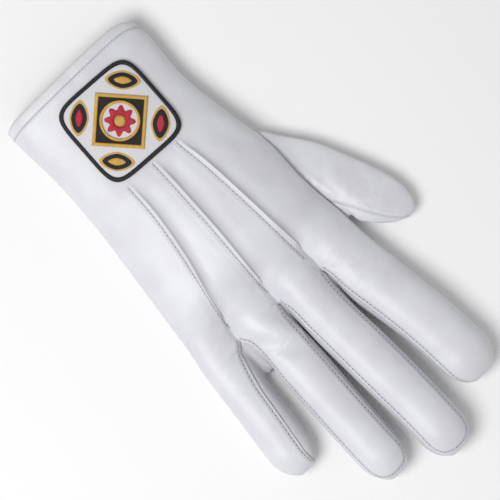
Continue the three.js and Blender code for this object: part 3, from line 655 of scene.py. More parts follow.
def without_slivers(faces):
    """Faces that have closed to a line are left out."""
    sorted_faces = np.sort(faces, axis=1)
    distinct = 1 + (np.diff(sorted_faces, axis=1) > 0).sum(axis=1)
    return faces[distinct >= 3]


def normals_of(points, faces):
    a, b, c, d = (points[faces[:, i]] for i in range(4))
    normal = np.cross(c - a, d - b)
    total = np.zeros_like(points)
    for i in range(4):
        np.add.at(total, faces[:, i], normal)
    length = np.linalg.norm(total, axis=1, keepdims=True)
    return total / np.maximum(length, 1e-15)


def rim_of(faces):
    """The edges that only one face uses, in that face's order."""
    edges = {}
    for face in faces.tolist():
        for a, b in zip(face, face[1:] + face[:1]):
            if a == b:
                continue
            if (b, a) in edges:
                del edges[(b, a)]
            else:
                edges[(a, b)] = True
    return list(edges)


# Relief of the leather

def waves(points, size):
    """Smooth noise between -1 and 1. size gives its length along X, Y and Z."""
    scaled = points / np.array(size)
    return np.array([noise.noise(Vector(place)) for place in scaled])


def crease_relief(points, crease):
    start = np.array([crease["x0"], crease["y0"]])
    run = np.array([crease["x1"], crease["y1"]]) - start
    length = np.linalg.norm(run)
    offset = points[:, :2] - start
    t = offset @ run / length ** 2
    side = (offset[:, 0] * run[1] - offset[:, 1] * run[0]) / length
    bow = side + 0.06 * length * np.sin(np.pi * np.clip(t, 0, 1))
    fade = between(t, -0.1, 0.25, 0.7, 1.15)
    width = crease["width"]
    return crease["depth"] * fade * (0.55 * hump(bow - 1.7 * width, 1.3 * width) - hump(bow, width))


def crotch_relief(points):
    """Puckers that run out from each crotch, and the dent at it."""
    height = np.zeros(len(points))
    for number, crotch in enumerate(CROTCHES):
        dx, dy = points[:, 0] - crotch["x"], points[:, 1] - crotch["y"]
        far = np.hypot(dx, dy)
        turn = np.arctan2(dy, dx)
        rays = np.cos(9 * turn + 2.1 * number) + 0.6 * np.cos(5 * turn + 1.3 + number)
        height += PUCKERS_HEIGHT * rays * hump(far - PUCKERS_AT, PUCKERS_WIDTH) * smooth(far, 0, 0.003)
        height -= DENT_DEPTH * hump(far, DENT_WIDTH)
    return height


def leather_relief(points, normals, depth):
    """How far the leather stands off its smooth form: undulation, creases and puckers."""
    x, y = points[:, 0], points[:, 1]
    past_sides = smooth(np.abs(x - BADGE_ASIDE), *BADGE_CLEAR)
    past_ends = smooth(np.abs(y - BADGE_FROM_CUFF), *BADGE_CLEAR)
    height = crotch_relief(points)
    for row in WAVES:
        strength = hump(y - row["middle"], row["reach"]) if row["reach"] else 1
        height += row["height"] * strength * waves(points, (row["x"], row["y"], row["z"]))
    for crease in CREASES:
        height += crease_relief(points, crease)
    facing_up = smooth(normals[:, 2], -0.15, 0.35)
    return depth * height * facing_up * mix(BADGE_FLATNESS, 1, np.maximum(past_sides, past_ends))


# Seam lines, as rows of points in the glove's own layout

def tip_seam(number):
    """The seam round a fingertip, from its left side over the end to its right side."""
    finger = FINGERS[number]
    reaches = np.arange(SEAM_START, finger["length"] - TIP_LENGTH, SEAM_STEP)
    left = [back_place(number, finger["left"], reach) for reach in reaches]
    right = [back_place(number, finger["right"], reach) for reach in reaches]
    (left_x, left_y), (right_x, right_y) = left[-1], right[-1]
    rise = HAND_LENGTH + finger["length"] - TIP_SEAM_INSET - (left_y + right_y) / 2
    arc = []
    for t in np.linspace(0, 1, 36)[1:-1]:
        turn = np.pi * (1 - t)
        x = (left_x + right_x) / 2 + (right_x - left_x) / 2 * bulge(math.cos(turn), 0.8)
        arc.append([x, mix(left_y, right_y, t) + rise * math.sin(turn) ** 0.75])
    return left + arc + right[::-1]


def back_place(number, share, reach):
    """A place on the back of a finger in plan, at a share of its half width."""
    finger = FINGERS[number]
    middle, half, level = finger_section(finger, reach / finger["length"])
    end, run = (0.0, finger["run_left"]) if share < 0 else (1.0, finger["run_right"])
    edge = finger_surface(number, "back", end, np.array([[reach]]))[0, 0]
    x = mix(edge[0] - np.sign(share) * SKIVED, middle + half * share, smooth(reach, 0, run))
    return [float(x), float(HAND_LENGTH + reach - CROTCH_SLOPE * level)]


def side_seam(number, side):
    """A seam along one side of a finger that ends at its tip."""
    finger = FINGERS[number]
    places = []
    for reach in np.arange(SEAM_START, finger["length"] - 0.0016, SEAM_STEP):
        share = finger[side]
        if side == "left":
            share = share + finger["roll"] * reach / finger["length"]
        tip = np.clip((reach - finger["length"] + TIP_LENGTH) / TIP_LENGTH, 0, 1)
        share = mix(share, 0.42 * np.sign(share), tip ** 3)
        places.append(back_place(number, share, reach))
    return places


def tuck_seam(number):
    """The stitches beside a tuck."""
    places = []
    for y in np.arange(TUCK_START + 0.002, TUCK_END, SEAM_STEP):
        places.append([float(tuck_line(number, y / HAND_LENGTH)) + TUCK_STITCHES, float(y)])
    return places


class Seam:
    """A stitched line on the leather. side is 1 where its left hand is the outer side, else -1."""

    def __init__(self, points, normals, side):
        self.points = points
        self.normals = normals
        self.side = side
        self.pull = 1.0

    def pulled(self, pull):
        """The same seam, with its thread drawn in more or less."""
        self.pull = pull
        return self

    def counts(self, pitch):
        """How many stitches there are up to each point."""
        steps = [0.0] + [(b - a).length for a, b in zip(self.points, self.points[1:])]
        run = np.cumsum(steps)
        return run / run[-1] * max(1, int(run[-1] / pitch))


def dropped(places, surface, side=1):
    """A seam from places in plan, dropped onto the glove from above."""
    flat = settled(np.array([[x, y, 0.0] for x, y in places]))
    points, normals = [], []
    for place in flat:
        start = Vector((place[0], place[1], 0.1))
        hit, normal, _, _ = surface.ray_cast(start, Vector((0, 0, -1)))
        if hit is not None and hit.z > 0.003:
            points.append(hit)
            normals.append(normal)
    return Seam(points, normals, side)


def palm_seam(number, side, surface):
    """The seam under one side of a finger, found on the leather from the edge of its palm."""
    finger = FINGERS[number]
    reach = np.arange(2 * SEAM_START, finger["length"] - 0.004, SEAM_STEP)[:, None]
    fraction, outer_side = (PALM_SEAM_INSET, -1) if side == "left" else (1 - PALM_SEAM_INSET, 1)
    places = finger_surface(number, "palm", np.array([fraction]), reach)[:, 0]
    return nearest(places, surface, outer_side)


def hem_seam(surface):
    """The hem's stitches, once round the cuff."""
    angle = np.arange(0, 2 * np.pi, 0.01)
    return nearest(hand_point(np.full_like(angle, HEM_STITCHES / HAND_LENGTH), angle), surface, 1)


def nearest(places, surface, side):
    """A seam through the places on the glove that are nearest to the given ones."""
    points, normals = [], []
    for place in settled(places):
        hit, normal, _, _ = surface.find_nearest(Vector(place))
        points.append(hit)
        normals.append(normal)
    return Seam(points, normals, side)


def seam_lines(surface):
    """Every stitched line on the trank."""
    lines = [dropped(tip_seam(1), surface), dropped(tip_seam(2), surface)]
    lines.append(dropped(side_seam(0, "right"), surface, -1))
    lines.append(dropped(side_seam(LAST, "left"), surface))
    lines += [dropped(tuck_seam(number), surface).pulled(0.75) for number in range(len(TUCK_LINES))]
    for number in range(LAST):
        lines.append(palm_seam(number, "right", surface))
        lines.append(palm_seam(number + 1, "left", surface))
    lines.append(hem_seam(surface).pulled(0.4))
    return lines


def tree_of(points):
    """A tree that finds the nearest of the points."""
    tree = KDTree(len(points))
    for i, point in enumerate(points):
        tree.insert(Vector(point), i)
    tree.balance()
    return tree


def nearest_on_lines(points, seams, pitch):
    """For each point its distance to the nearest seam, the stitches up to it, the seam's pull and a mark.

    The distance is above 0 on the seam's outer side. The mark is 1 beside a seam and 0 past its ends.
    """
    samples, counts, outward, pulls, beside = [], [], [], [], []
    for seam in seams:
        counts += list(seam.counts(pitch))
        pulls += [seam.pull] * len(seam.points)
        beside += [0.0] + [1.0] * (len(seam.points) - 2) + [0.0]
        for i, place in enumerate(seam.points):
            samples.append(place)
            tangent = seam.points[min(i + 1, len(seam.points) - 1)] - seam.points[max(i - 1, 0)]
            outward.append(seam.normals[i].cross(tangent) * seam.side)
    tree = tree_of(samples)
    distance, found = [], []
    for point in points:
        hit, i, far = tree.find(Vector(point))
        distance.append(far if (Vector(point) - hit).dot(outward[i]) > 0 else -far)
        found.append(i)
    return np.array(distance), np.array(counts)[found], np.array(pulls)[found], np.array(beside)[found]


def seam_values(distance, count, pull, beside):
    """What the leather's finish reads near a seam."""
    return {
        "pull": (pull, 0.0),
        "seam_distance": (np.clip(distance, -SEAM_FAR, SEAM_FAR), 1.0),
        "seam_near": (beside * (1 - smooth(np.abs(distance), *SEAM_FADES)), 0.0),
        "stitch_count": (count, 0.0),
    }


def ray_values(points):
    """The turn and reach from the nearest place where the leather is gathered, and how strongly."""
    centres = np.array([[row["x"], row["y"]] for row in CROTCHES] + [THUMB_CROTCH])
    offset = points[:, None, :2] - centres[None]
    far = np.linalg.norm(offset, axis=2)
    nearest_one = np.argmin(far, axis=1)
    ranked = np.sort(far, axis=1)
    offset = offset[np.arange(len(points)), nearest_one]
    gap = np.where(nearest_one == len(CROTCHES), THUMB_GAP_TURN, 0)
    across = offset[:, 0] * np.cos(gap) + offset[:, 1] * np.sin(gap)
    along = offset[:, 1] * np.cos(gap) - offset[:, 0] * np.sin(gap)
    turn = np.arctan2(across, -along) + 3 * nearest_one
    reach = far.min(axis=1)
    strength = hump(reach - GATHERED_AT, GATHERED_WIDTH) * smooth(ranked[:, 1] - ranked[:, 0], 0.001, 0.007)
    creased = hump(points[:, 1] - CREASED_AT, CREASED_WIDTH) * smooth(points[:, 2], 0.006, 0.012)
    return {"ray_turn": (turn, 0.0), "ray_reach": (reach, 0.0), "gathered": (strength, 0.0),
            "creased": (creased, 0.0)}


# Meshes and pieces

def new_object(name, vertices, faces):
    mesh = bpy.data.meshes.new(name)
    mesh.from_pydata(vertices, [], faces)
    mesh.update()
    made = bpy.data.objects.new(name, mesh)
    bpy.context.scene.collection.objects.link(made)
    mesh.shade_smooth()
    return made


def polygons(faces):
    """Face lists with each corner once."""
    return [[a for i, a in enumerate(face) if a != face[i - 1]] for face in faces.tolist()]


def placed(points):
    """Points of the glove's own layout, set where the frame's solids are."""
    return np.asarray(points) + SHIFT


def above_floor(points):
    return np.maximum(points, [-np.inf, -np.inf, 0])


def store(mesh, name, values):
    attribute = mesh.attributes.new(name, "FLOAT", "POINT")
    attribute.data.foreach_set("value", np.asarray(values, np.float32))


def leather_object(name, outer, inner, faces, values, finish):
    """A closed wall: its outer and inner sheets, joined by a rounded strip round every edge."""
    faces = without_slivers(faces)
    used = np.unique(faces)
    place = np.full(len(outer), -1)
    place[used] = np.arange(len(used))
    faces = place[faces]
    outer, inner = outer[used], inner[used]
    count = len(used)
    rim = rim_of(faces)
    normals = normals_of(outer, faces)
    outward = {}
    for a, b in rim:
        along = outer[b] - outer[a]
        out = np.cross(along, normals[a] + normals[b])
        out = out / max(np.linalg.norm(out), 1e-15)
        for i in (a, b):
            outward[i] = outward.get(i, 0) + out
    turned = {i: 2 * count + n for n, i in enumerate(outward)}
    middle = []
    for i, out in outward.items():
        wall = np.linalg.norm(outer[i] - inner[i])
        out = out / max(np.linalg.norm(out), 1e-15)
        middle.append((outer[i] + inner[i]) / 2 + out * wall * RIM_ROUNDING)
    strips = []
    for a, b in rim:
        strips.append([b, a, turned[a], turned[b]])
        strips.append([turned[b], turned[a], a + count, b + count])
    every = np.concatenate([outer, inner] + ([np.array(middle)] if middle else []))
    inner_faces = faces[:, ::-1] + count
    made = new_object(name, placed(every), polygons(faces) + polygons(inner_faces) + strips)
    extra = len(every) - 2 * count
    for key, (shown, hidden) in values.items():
        column = np.concatenate([shown[used], np.full(count + extra, hidden)])
        store(made.data, key, column)
    store(made.data, "inside", np.concatenate([np.zeros(count), np.ones(count), np.full(extra, 0.5)]))
    made.data.materials.append(finish)
    return made


def trank_patches():
    rows = hand_rows()
    y = rows[:, 0] * HAND_LENGTH
    hole_end = THUMB_HOLE_START + THUMB_HOLE_LENGTH
    hole = (int(np.argmin(np.abs(y - THUMB_HOLE_START))), int(np.argmin(np.abs(y - hole_end))))
    height = bpy.context.scene.glove_sizes.tuck_height
    patches = []
    for number, finger in enumerate(FINGERS):
        reach = finger_rows(finger)
        for on in ("back", "palm"):
            lift = tuck_lift(number, on, FRACTIONS, rows, height)
            patches.append(Patch(hand_surface(number, on, FRACTIONS, rows), on == "palm", lift))
            patches.append(Patch(finger_surface(number, on, FRACTIONS, reach), on == "palm"))
    left = np.linspace(0, 1, HOLE_STEPS + 1)
    right = np.linspace(0, 1, OUTER_STEPS + 1)
    hand_left = Patch(hand_surface(0, "left", left, rows), True, hole=hole)
    patches.append(hand_left)
    patches.append(Patch(plain_finger(0, "left", left, finger_rows(FINGERS[0])), True))
    patches.append(Patch(hand_surface(LAST, "right", right, rows), False))
    patches.append(Patch(plain_finger(LAST, "right", right, finger_rows(FINGERS[LAST])), False))
    return patches, hand_left


def gap_patches(number):
    """The two sides of the gap between a finger and the next."""
    fraction = np.linspace(0, 1, WEB_STEPS + 1)
    near = side_surface(number, "right", fraction, finger_rows(FINGERS[number]))
    far = side_surface(number + 1, "left", fraction, finger_rows(FINGERS[number + 1]))
    return [Patch(near, False), Patch(far, True)]


def hole_ring(patch):
    """The thumb hole's rim, and the turn of each of its points round the hole."""
    first, last = patch.hole
    rows, end = last - first, patch.points.shape[1] - 1
    ring = [(row, 0) for row in range(first, last)]
    ring += [(last, column) for column in range(0, end)]
    ring += [(row, end) for row in range(last, first, -1)]
    ring += [(first, column) for column in range(end, 0, -1)]
    points = np.array([patch.points[row, column] for row, column in ring])
    a = np.array([2 * (row - first) / rows - 1 for row, _ in ring])
    b = np.array([1 - 2 * column / end for _, column in ring])
    return points, np.arctan2(b * np.sqrt(1 - a * a / 2), a * np.sqrt(1 - b * b / 2))


def thumb_grid(ring, turns):
    """The thumb's rows of points, from the rim of its hole to its tip."""
    station = np.linspace(0, THUMB_ROWS[-1]["along"], THUMB_STEPS)[:, None]
    row = np.maximum(station, 1)
    root = HAND_WIDTH * read(HAND_ROWS, "left", THUMB_HOLE_START / HAND_LENGTH)
    hole_end = THUMB_HOLE_START + THUMB_HOLE_LENGTH
    free = THUMB_LENGTH - THUMB_HOLE_LENGTH
    left_x = root - THUMB_SPREAD * read(THUMB_ROWS, "left_out", row)
    left_y = THUMB_HOLE_START + THUMB_LENGTH * read(THUMB_ROWS, "left_along", row)
    right_x = root - THUMB_SPREAD * read(THUMB_ROWS, "right_out", row)
    right_y = hole_end + free * read(THUMB_ROWS, "right_past", row)
    high = THUMB_THICKNESS * np.maximum(0, read(THUMB_ROWS, "half", row))
    across = (1 + bulge(np.cos(turns), 2 / FINGER_POWER)) / 2
    up = bulge(np.sin(turns), 2 / FINGER_POWER)
    level = FINGER_REST * THUMB_THICKNESS / 2 - THUMB_DROP * (THUMB_THICKNESS / 2 - high)
    lean = THUMB_LEAN * (across - 0.75) * np.maximum(0, up) * between(station, 0, 3, 7, 10)
    section = stack(mix(left_x, right_x, across), mix(left_y, right_y, across),
                    np.maximum(0, level + high * up + lean))
    ease = 1 - (1 - np.clip(station / THUMB_EASED, 0, 1)) ** 2
    return mix_points(ring[None], section, np.broadcast_to(ease, section.shape[:2]))


def finish_piece(made, slot, *nodes, body="root"):
    """Every piece rides on the glove's one body, and stands for the nodes that are named."""
    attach(made, body)
    if nodes:
        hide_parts(*nodes)


# Materials

def new_node(tree, kind, settings, inputs):
    """One node of any type, with its settings made before its sockets are filled."""
    node = tree.nodes.new(kind)
    for key, setting in settings.items():
        setattr(node, key, setting)
    for key, given in inputs.items():
        fill(tree, node.inputs[key], given)
    return node


def fill(tree, socket, given):
    """Links a socket to a value or to another socket, or else sets it."""
    source = given.socket if isinstance(given, Value) else given
    if isinstance(source, bpy.types.NodeSocket):
        tree.links.new(source, socket)
    else:
        socket.default_value = source


class Value:
    """A number that varies over a surface. Python's operators on it add Math nodes."""

    def __init__(self, finish, socket):
        self.finish = finish
        self.socket = socket

    def maths(self, operation, *others):
        return self.finish.maths(operation, self, *others)

    def __add__(self, other):
        return self.maths("ADD", other)

    def __sub__(self, other):
        return self.maths("SUBTRACT", other)

    def __rsub__(self, other):
        return self.finish.maths("SUBTRACT", other, self)

    def __mul__(self, other):
        return self.maths("MULTIPLY", other)

    def __truediv__(self, other):
        return self.maths("DIVIDE", other)

    def __pow__(self, other):
        return self.maths("POWER", other)

    def __abs__(self):
        return self.maths("ABSOLUTE")

    __radd__ = __add__
    __rmul__ = __mul__


class Finish:
    """A material and its nodes."""

    def __init__(self, name):
        self.material = bpy.data.materials.new(name)
        self.material.use_nodes = True
        self.tree = self.material.node_tree
        self.shader = self.tree.nodes["Principled BSDF"]

    def add(self, kind, settings, inputs, output=0):
        return Value(self, new_node(self.tree, kind, settings, inputs).outputs[output])

    def set(self, **inputs):
        for name, given in inputs.items():
            fill(self.tree, self.shader.inputs[name.replace("_", " ")], given)

    def maths(self, operation, *terms):
        return self.add("ShaderNodeMath", {"operation": operation}, dict(enumerate(terms)))

    def place(self):
        return self.add("ShaderNodeTexCoord", {}, {}, "Object")

    def turned(self, angle, scale=(1, 1, 1)):
        inputs = {"Vector": self.place(), "Rotation": (0, 0, angle), "Scale": scale}
        return self.add("ShaderNodeMapping", {}, inputs)

    def grain(self, scale, detail, place=None):
        inputs = {"Vector": place or self.place(), "Scale": scale, "Detail": detail}
        return self.add("ShaderNodeTexNoise", {}, inputs)

    def cells(self, scale, feature, place):
        inputs = {"Vector": place, "Scale": scale}
        return self.add("ShaderNodeTexVoronoi", {"feature": feature}, inputs, "Distance")

    def stored(self, name):
        return self.add("ShaderNodeAttribute", {"attribute_name": name}, {}, "Fac")

    def range(self, value, low, high, start=0.0, end=1.0):
        inputs = {0: value, 1: low, 2: high, 3: start, 4: end}
        return self.add("ShaderNodeMapRange", {"interpolation_type": "SMOOTHSTEP"}, inputs)

    def falling(self, value, low, high):
        return self.range(value, low, high, 1.0, 0.0)

    def blend(self, share, first, second):
        return self.add("ShaderNodeMix", {"data_type": "RGBA"}, {0: share, 6: first, 7: second}, 2)

    def bump(self, height):
        return self.add("ShaderNodeBump", {}, {"Height": height, "Distance": 1.0, "Strength": 1.0})


def rgba(color, brightness=1.0):
    return (*(min(1.0, brightness * part) for part in color[:3]), 1.0)


def leather_finish(name, brightness):
    """Smooth white leather: fine grain, pores and soft creases, drawn in along the stitches. Its colour
    carries painted shade in the stitched grooves and the needle holes, and a brightness below 1 darkens it
    all over as painted shade.
    """
    colors = bpy.context.scene.glove_colors
    made = Finish(name)
    seam = abs(made.stored("seam_distance"))
    by_seam = made.stored("seam_near")
    pull = made.stored("pull")
    inside = made.stored("inside")
    pulse = (made.stored("stitch_count") * (2 * math.pi)).maths("COSINE")
    broad = made.grain(55, 3)
    fine = made.grain(1500, 2)
    stretched = made.turned(0.0, (1, 0.45, 1))
    pebbles = made.cells(1450, "SMOOTH_F1", stretched)
    lines = made.cells(330, "DISTANCE_TO_EDGE", stretched)
    worn = made.range(made.grain(90, 2), 0.42, 0.68)
    groove = made.falling(seam, 0.0, 0.0008) * by_seam
    pillow = made.range(seam, 0.0006, 0.0016) * made.falling(seam, 0.0016, 0.0034) * by_seam
    near = made.falling(seam, 0.0003, 0.0026) * by_seam
    holes = made.falling(pulse, -0.95, -0.4) * made.falling(seam, 0.00015, 0.00045) * by_seam
    ray = made.add("ShaderNodeCombineXYZ", {}, {
        "X": made.stored("ray_turn") * 7.0, "Y": made.stored("ray_reach") * 130.0})
    wrinkles = made.grain(1.0, 3, ray) * made.stored("gathered") * (0.4 + worn)
    folded = made.grain(1.0, 3, made.turned(0.5, (160, 620, 300))) * made.stored("creased")
    height = pebbles * PEBBLES + fine * PORES + broad * BROAD + wrinkles * WRINKLES + folded * FOLDS
    height = height + made.range(lines, 0.0, 0.12) * worn * CRACKS
    height = height - groove * GROOVE + pillow * PILLOW - pulse * near * PULSE - holes * pull * NEEDLE_HOLE
    height = height * (1 - inside * 0.4)
    # A brightness below 1 darkens the whole leather as painted shade; the fourchettes use it.
    plain, cool = rgba(colors.leather, brightness), rgba(colors.leather_cool, brightness)
    shade = made.blend(made.range(broad, 0.35, 0.65), plain, cool)
    # Painted shade: the colour is darkened down in the stitched grooves, more where the thread pulls harder.
    shade = made.blend(groove * (0.08 + pull * 0.16), shade, rgba(colors.painted_groove_shade))
    # Painted shade: the needle holes are darkened to stand for the shade inside them.
    shade = made.blend(holes * pull * 0.8, shade, rgba(colors.hole))
    shade = made.blend(inside * 0.55, shade, rgba(colors.leather_flesh))
    rough = 0.38 + made.grain(40, 2) * 0.10 + inside * 0.35 + groove * 0.1
    made.set(Base_Color=shade, Roughness=rough, Normal=made.bump(height))
    made.set(Coat_Weight=0.08, Coat_Roughness=0.3, Specular_IOR_Level=0.5)
    return made.material


def thread_finish(name, color, roughness):
    """Spun thread: strands that run round it, with painted shade in the twist between them, and a little
    unevenness in its colour.
    """
    made = Finish(name)
    strands = {"Vector": made.turned(0.6), "Scale": 900.0, "Distortion": 2.0}
    bands = {"wave_type": "BANDS", "bands_direction": "DIAGONAL"}
    twist = made.add("ShaderNodeTexWave", bands, strands, "Fac")
    fuzz = made.grain(2600, 2)
    # Partly real, partly painted: the fuzz gives random unevenness, and the twist bands are painted shade
    # between the strands.
    tint = made.blend(made.range(fuzz, 0.3, 0.75) * 0.45 + twist * 0.25, rgba(color), rgba(color, 0.55))
    made.set(Base_Color=tint, Roughness=roughness + fuzz * 0.15, Specular_IOR_Level=0.45)
    made.set(Normal=made.bump(twist * 0.00004 + fuzz * 0.00003))
    return made.material


def satin_ridge(made, wobble, unevenness):
    """How high each satin stitch stands, from 0 to 1. The attribute named thread counts the stitches."""
    phase = (made.stored("thread") + (wobble - 0.5) * unevenness) * math.pi
    return abs(phase.maths("SINE"))


def satin_finish(name, color, roughness):
    """Satin stitches laid side by side, with painted shade between them."""
    made = Finish(name)
    wobble = made.grain(420, 2)
    ridge = satin_ridge(made, wobble, 0.35)
    fuzz = made.grain(2300, 2)
    # Painted shade: the colour is darkened in the valleys between the stitches.
    tint = made.blend(ridge, rgba(color, 0.5), rgba(color))
    tint = made.blend(made.range(wobble, 0.45, 0.75) * 0.5, tint, rgba(color, 1.18))
    made.set(Base_Color=tint, Roughness=roughness + fuzz * 0.18, Specular_IOR_Level=0.5)
    made.set(Normal=made.bump(ridge * 0.00009 + fuzz * 0.00003))
    return made.material


def ground_finish(name):
    """The badge's ground: white satin stitches, with black fields in the gold frame and by the leaves, and
    painted shade between the stitches.
    """
    colors = bpy.context.scene.glove_colors
    made = Finish(name)
    across, along = abs(made.stored("across")), abs(made.stored("along"))
    far = across + along
    in_frame = LOZENGE_REACH - LOZENGE_WIDTH / 2 - far
    past_ring = (across * across + along * along) ** 0.5 - (RING_RADIUS - RING_BAND / 2)
    out = abs(far * math.sqrt(0.5) - LEAF_REACH) / (LEAF_FIELD_WIDTH / 2)
    aside = abs((across - along) * math.sqrt(0.5)) / (LEAF_FIELD_LENGTH / 2)
    leaf_field = out ** 1.6 + aside ** 1.6
    gold_line = made.range(leaf_field, 0.92, 0.98) * made.falling(leaf_field, 1.22, 1.30)
    in_field = made.range(in_frame.maths("MINIMUM", past_ring), -0.0001, 0.0001)
    in_field = in_field.maths("MAXIMUM", made.falling(leaf_field, 0.90, 0.96))
    wobble = made.grain(380, 2)
    ridge = satin_ridge(made, wobble, 0.4)
    # Painted shade: each thread's colour is darkened in the valleys between the stitches.
    white = made.blend(ridge, rgba(colors.ground_painted_shade), rgba(colors.ground))
    black = made.blend(ridge, rgba(colors.black, 0.6), rgba(colors.black))
    gold = made.blend(ridge, rgba(colors.gold, 0.6), rgba(colors.gold))
    tint = made.blend(gold_line, made.blend(in_field, white, black), gold)
    made.set(Base_Color=tint, Roughness=0.5 + wobble * 0.14, Specular_IOR_Level=0.4)
    made.set(Normal=made.bump(ridge * 0.00008 + wobble * 0.00006 + gold_line * 0.0002))
    return made.material


def floor_finish(name, color):
    made = Finish(name)
    tint = made.blend(made.grain(9, 2), rgba(color), rgba(color, 0.985))
    made.set(Base_Color=tint, Roughness=0.75 + made.grain(30, 2) * 0.1, Specular_IOR_Level=0.2)
    return made.material


def material(name, make, *given):
    """The material of this name, made the first time that it is asked for."""
    return bpy.data.materials.get(name) or make(name, *given)


def leather():
    return material("white_leather", leather_finish, 1.0)


def thin_leather():
    """The fourchettes' leather, which is skived thin. Its colour is darkened all over as painted shade, for
    the shade between the fingers.
    """
    return material("thin_leather", leather_finish, bpy.context.scene.glove_colors.fourchette_painted_shade)


# What repeats along a line, by Geometry Nodes

class Nodes:
    """A Geometry Nodes tree under construction."""

    def __init__(self, name):
        self.tree = bpy.data.node_groups.new(name, "GeometryNodeTree")
        self.tree.interface.new_socket("Geometry", in_out="INPUT", socket_type="NodeSocketGeometry")
        self.tree.interface.new_socket("Geometry", in_out="OUTPUT", socket_type="NodeSocketGeometry")
        self.source = self.tree.nodes.new("NodeGroupInput")

    def given(self, name, kind="NodeSocketFloat"):
        self.tree.interface.new_socket(name, in_out="INPUT", socket_type=kind)
        return self.source.outputs[name]

    def add(self, kind, settings, inputs):
        return new_node(self.tree, kind, settings, inputs)


def stitch_tree():
    """Rounded stitches laid evenly along lines of edges, upright to the leather."""
    found = bpy.data.node_groups.get("stitches_along_lines")
    if found:
        return found
    make = Nodes("stitches_along_lines")
    pitch, length, width, height, slant = (
        make.given(name) for name in ("Pitch", "Length", "Width", "Height", "Slant"))
    seed = make.given("Seed", "NodeSocketInt")
    finish = make.given("Material", "NodeSocketMaterial")
    curve = make.add("GeometryNodeMeshToCurve", {}, {"Mesh": make.source.outputs["Geometry"]})
    even = make.add("GeometryNodeResampleCurve", {"mode": "LENGTH"},
                    {"Curve": curve.outputs[0], "Length": pitch})
    tangent = make.add("GeometryNodeInputTangent", {}, {})
    up = make.add("GeometryNodeInputNamedAttribute", {"data_type": "FLOAT_VECTOR"}, {"Name": "up"})
    aimed = make.add("FunctionNodeAlignRotationToVector", {"axis": "X"}, {"Vector": tangent.outputs[0]})
    upright = make.add("FunctionNodeAlignRotationToVector", {"axis": "Z", "pivot_axis": "X"},
                       {"Rotation": aimed.outputs[0], "Vector": up.outputs["Attribute"]})
    chance = make.add("FunctionNodeRandomValue", {"data_type": "FLOAT"}, {2: -0.09, 3: 0.09, "Seed": seed})
    turn = make.add("ShaderNodeMath", {"operation": "ADD"}, {0: slant, 1: chance.outputs[1]})
    axis = make.add("FunctionNodeAxisAngleToRotation", {}, {"Axis": (0, 0, 1), "Angle": turn.outputs[0]})
    slanted = make.add("FunctionNodeRotateRotation", {"rotation_space": "LOCAL"},
                       {"Rotation": upright.outputs[0], "Rotate By": axis.outputs[0]})
    size = make.add("ShaderNodeCombineXYZ", {}, {"X": length, "Y": width, "Z": height})
    bead = make.add("GeometryNodeMeshUVSphere", {}, {"Segments": 8, "Rings": 6, "Radius": 0.5})
    laid = make.add("GeometryNodeInstanceOnPoints", {},
                    {"Points": even.outputs[0], "Instance": bead.outputs["Mesh"],
                     "Rotation": slanted.outputs[0], "Scale": size.outputs[0]})
    real = make.add("GeometryNodeRealizeInstances", {}, {"Geometry": laid.outputs[0]})
    soft = make.add("GeometryNodeSetShadeSmooth", {}, {"Geometry": real.outputs[0]})
    done = make.add("GeometryNodeSetMaterial", {}, {"Geometry": soft.outputs[0], "Material": finish})
    result = make.tree.nodes.new("NodeGroupOutput")
    make.tree.links.new(done.outputs[0], result.inputs[0])
    return make.tree


def stitched(name, lines, finish, pitch, length, width, height, slant, seed, closed=False):
    """A mesh of stitches along lines of (points, normals), already in place."""
    vertices, edges, ups = [], [], []
    for points, normals in lines:
        start = len(vertices)
        vertices += [tuple(point) for point in points]
        ups += [tuple(normal) for normal in normals]
        edges += [(start + i, start + i + 1) for i in range(len(points) - 1)]
        if closed:
            edges.append((start + len(points) - 1, start))
    mesh = bpy.data.meshes.new(name + "_line")
    mesh.from_pydata(vertices, edges, [])
    attribute = mesh.attributes.new("up", "FLOAT_VECTOR", "POINT")
    attribute.data.foreach_set("vector", np.array(ups, np.float32).reshape(-1))
    line = bpy.data.objects.new(name + "_line", mesh)
    bpy.context.scene.collection.objects.link(line)
    modifier = line.modifiers.new("Stitches", "NODES")
    modifier.node_group = stitch_tree()
    given = {"Pitch": pitch, "Length": length, "Width": width, "Height": height, "Slant": slant,
             "Seed": seed, "Material": finish}
    for item in modifier.node_group.interface.items_tree:
        if item.in_out == "INPUT" and item.name in given:
            modifier[item.identifier] = given[item.name]
    bpy.context.view_layer.update()
    graph = bpy.context.evaluated_depsgraph_get()
    made = bpy.data.objects.new(name, bpy.data.meshes.new_from_object(line.evaluated_get(graph)))
    bpy.context.scene.collection.objects.link(made)
    bpy.data.objects.remove(line)
    bpy.data.meshes.remove(mesh)
    return made


# Badge shapes

def rounded_square(inset):
    def outline(angle):
        across = np.abs(np.cos(angle) / (BADGE_WIDTH / 2 - inset)) ** BADGE_SQUARENESS
        along = np.abs(np.sin(angle) / (BADGE_LENGTH / 2 - inset)) ** BADGE_SQUARENESS
        return (across + along) ** (-1 / BADGE_SQUARENESS)
    return outline


def circle(radius):
    return lambda angle: np.full_like(angle, radius)


def lozenge(reach):
    return lambda angle: reach / (np.abs(np.cos(angle)) + np.abs(np.sin(angle)))


def petals(radius):
    return lambda angle: radius * (1 - 0.16 * (1 - np.cos(PETALS * angle)))


def leaf(angle):
    across = np.abs(np.sin(angle) / (LEAF_WIDTH / 2)) ** 1.5
    along = np.abs(np.cos(angle) / (LEAF_LENGTH / 2)) ** 1.5
    return (across + along) ** (-1 / 1.5)


def on_back(x, y, lift):
    """Points above the back of the cuff."""
    middle, half, _, _ = hand_section(y / HAND_LENGTH)
    points = hand_point(y / HAND_LENGTH, angle_at((x - middle) / half, HAND_POWER))
    return stack(points[..., 0], y, points[..., 2] + lift)


